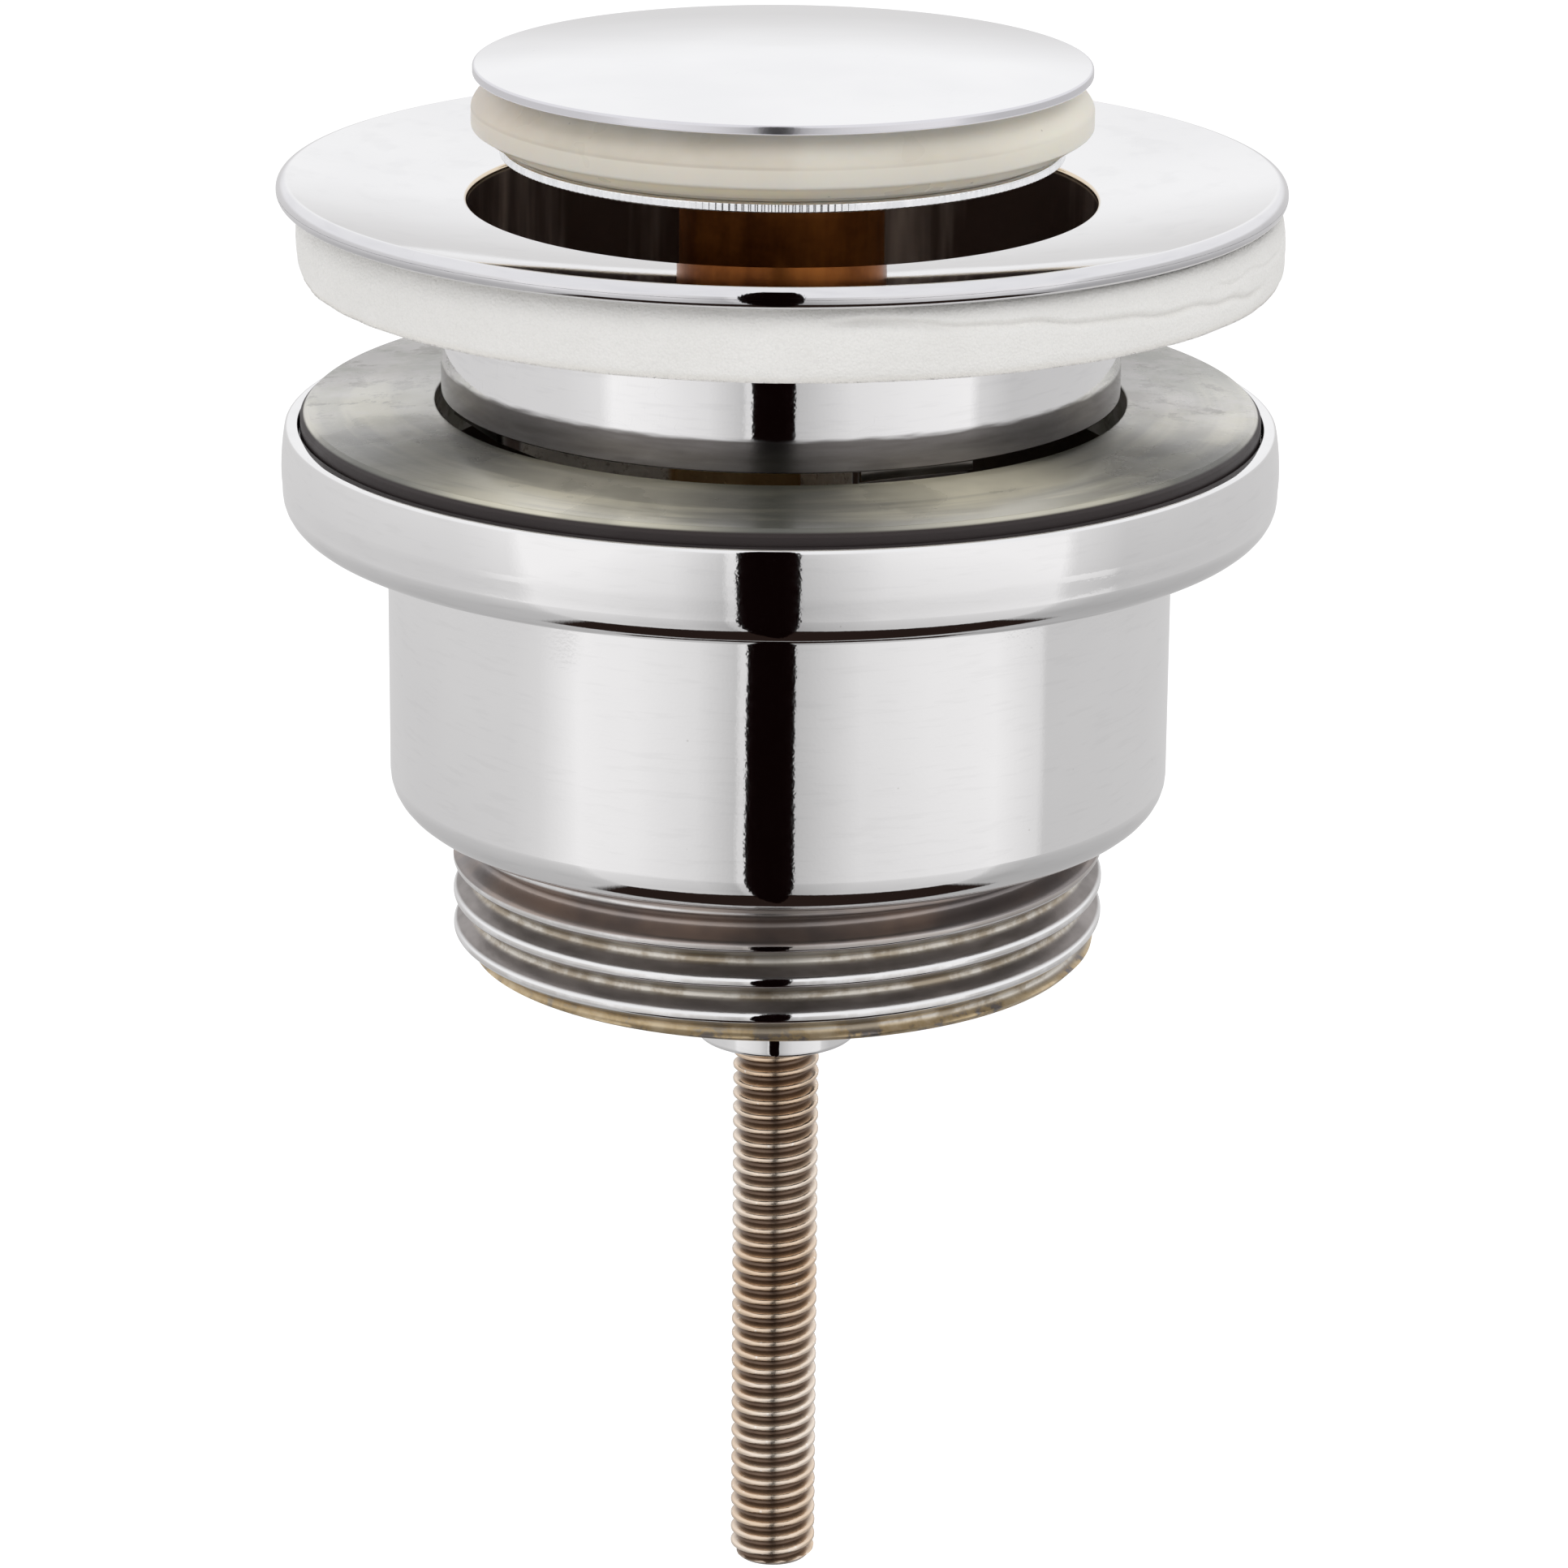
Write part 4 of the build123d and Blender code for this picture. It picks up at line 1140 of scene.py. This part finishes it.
# Fades of the low panels, the dark slot ahead and the ceiling: the two angles of each, in degrees
low_panels_top = (-16.0, -16.3)
low_panels_foot = (-19.8, -19.2)
slot_left = (-9.6, -9.2)
slot_right = (5.0, 4.6)
slot_top = (78.0, 66.0)
ceiling = (2.0, 14.0)


def graded(tree, place, stops, span, divisor=1.0):
    """Brightness at a place from 0 to 1 on a span of degrees, of which the middle is 0 degrees."""
    result = tree.add("ShaderNodeValToRGB", {0: place})
    elements = result.out.node.color_ramp.elements
    while len(elements) < len(stops):
        elements.new(1.0)
    for element, (angle, shade) in zip(elements, stops):
        element.position = angle / span + 0.5
        element.color = colour(shade / divisor)
    return result


def studio():
    world = bpy.data.worlds.new("studio")
    world.use_nodes = True
    world.node_tree.nodes.clear()
    tree = Tree(world.node_tree)
    x, y, z = tree.split(tree.add("ShaderNodeTexCoord", output=0))
    azimuth = tree.function("ARCTAN2", x, -y) / (2 * pi) + 0.5
    ahead = azimuth * 360 - 180
    elevation = tree.function("ARCSINE", z) * (180 / pi)
    fall = graded(tree, elevation / 180 + 0.5, height_brightness, 180)
    low = elevation.ramp(*low_panels_top) * elevation.ramp(*low_panels_foot)
    room = tree.mix(
        low,
        graded(tree, azimuth, panel_brightness, 360, chrome_colour),
        graded(tree, azimuth, low_brightness, 360, chrome_colour),
    )

    # A dark patch below, which the roundings of rim and cup show as crescents
    down = tree.greatest(-z, 0.01)
    sideways = (x / down - 0.07).size()
    away = y / down
    pit = (sideways + 0.35 * away).ramp(0.65, 0.55) * away.ramp(0.34, 0.26)
    pit = pit * (away - 0.5 * sideways).ramp(-0.78, -0.70) * z.ramp(-0.30, -0.35)
    slot = ahead.ramp(*slot_left) * ahead.ramp(*slot_right) * elevation.ramp(*slot_top)
    sky = tree.layers(
        tree.mix(room * fall * 1.2, (0.0, 0.0, 0.0), (1.0, 0.99, 0.992)),
        (elevation.ramp(*ceiling), (0.97, 0.97, 0.98)),
        (pit, (0.020, 0.012, 0.010)),
        (slot, (0.003, 0.001, 0.001)),
    )
    glossy = tree.add("ShaderNodeLightPath", output="Is Glossy Ray")
    shown = tree.layers(
        tree.mix(z.ramp(-0.6, 0.4), (0.86, 0.855, 0.85), (0.60, 0.60, 0.605)),
        (glossy.also("Is Camera Ray"), (1.0, 1.0, 1.0)),
        (glossy, sky),
    )
    background = tree.add("ShaderNodeBackground", {"Color": shown, "Strength": 1.0})
    tree.add("ShaderNodeOutputWorld", {"Surface": background})
    world.cycles.sampling_method = "NONE"
    bpy.context.scene.world = world


studio()


def soft_light(name, azimuth, elevation, distance, size, power):
    """A square light that lights the dull pieces. The panels above stand for it in the chrome."""
    data = bpy.data.lights.new(name, "AREA")
    data.shape = "SQUARE"
    data.size = size
    data.energy = power
    lamp = placed(name, data)
    across = cos(radians(elevation))
    away = Vector((sin(radians(azimuth)) * across, -cos(radians(azimuth)) * across, sin(radians(elevation))))
    lamp.location = Vector((0, 0, light_aim)) + away * distance
    lamp.rotation_euler = away.to_track_quat("Z", "Y").to_euler()
    lamp.visible_camera = False
    lamp.visible_glossy = False


light_aim = -15 * mm
soft_light("key_light", 35, 50, 0.9, 0.6, 2.2)
soft_light("fill_light", -60, 20, 0.9, 0.6, 1.2)


def floor(radius, height):
    """Large plain floor, far below, so that it stays white."""
    mesh = bmesh.new()
    bmesh.ops.create_circle(mesh, cap_ends=True, segments=96, radius=radius)
    data = bpy.data.meshes.new("floor")
    mesh.to_mesh(data)
    mesh.free()
    tree = Finish("floor_paint")
    base = tree.mix(tree.noise(3.0, 2.0), (0.97, 0.97, 0.97), (0.99, 0.99, 0.99))
    fixed = {"Roughness": 0.9, "Emission Strength": 0.5, "Emission Color": (1, 1, 1, 1)}
    data.materials.append(tree.done(fixed, base))
    data.transform(Matrix.Translation((0, 0, height)))
    ground = placed("floor", data)
    ground.visible_glossy = False
    ground.visible_diffuse = False


floor(4.0, -0.5)


def camera():
    pitch = radians(camera_pitch)
    yaw = radians(camera_yaw)
    forward = Vector((sin(yaw) * cos(pitch), cos(yaw) * cos(pitch), -sin(pitch)))
    right = Vector((cos(yaw), -sin(yaw), 0))
    up = right.cross(forward)
    turn = Matrix((right, up, -forward)).transposed() @ Matrix.Rotation(radians(camera_roll), 3, "Z")
    data = bpy.data.cameras.new("camera")
    data.sensor_width = sensor
    data.lens = focal_length
    data.clip_start = 0.01
    data.clip_end = 20
    view = placed("camera", data)
    view.matrix_world = Matrix.Translation((0, -camera_distance, camera_height)) @ turn.to_4x4()
    bpy.context.scene.camera = view


camera()
bpy.context.scene.view_settings.view_transform = "Standard"
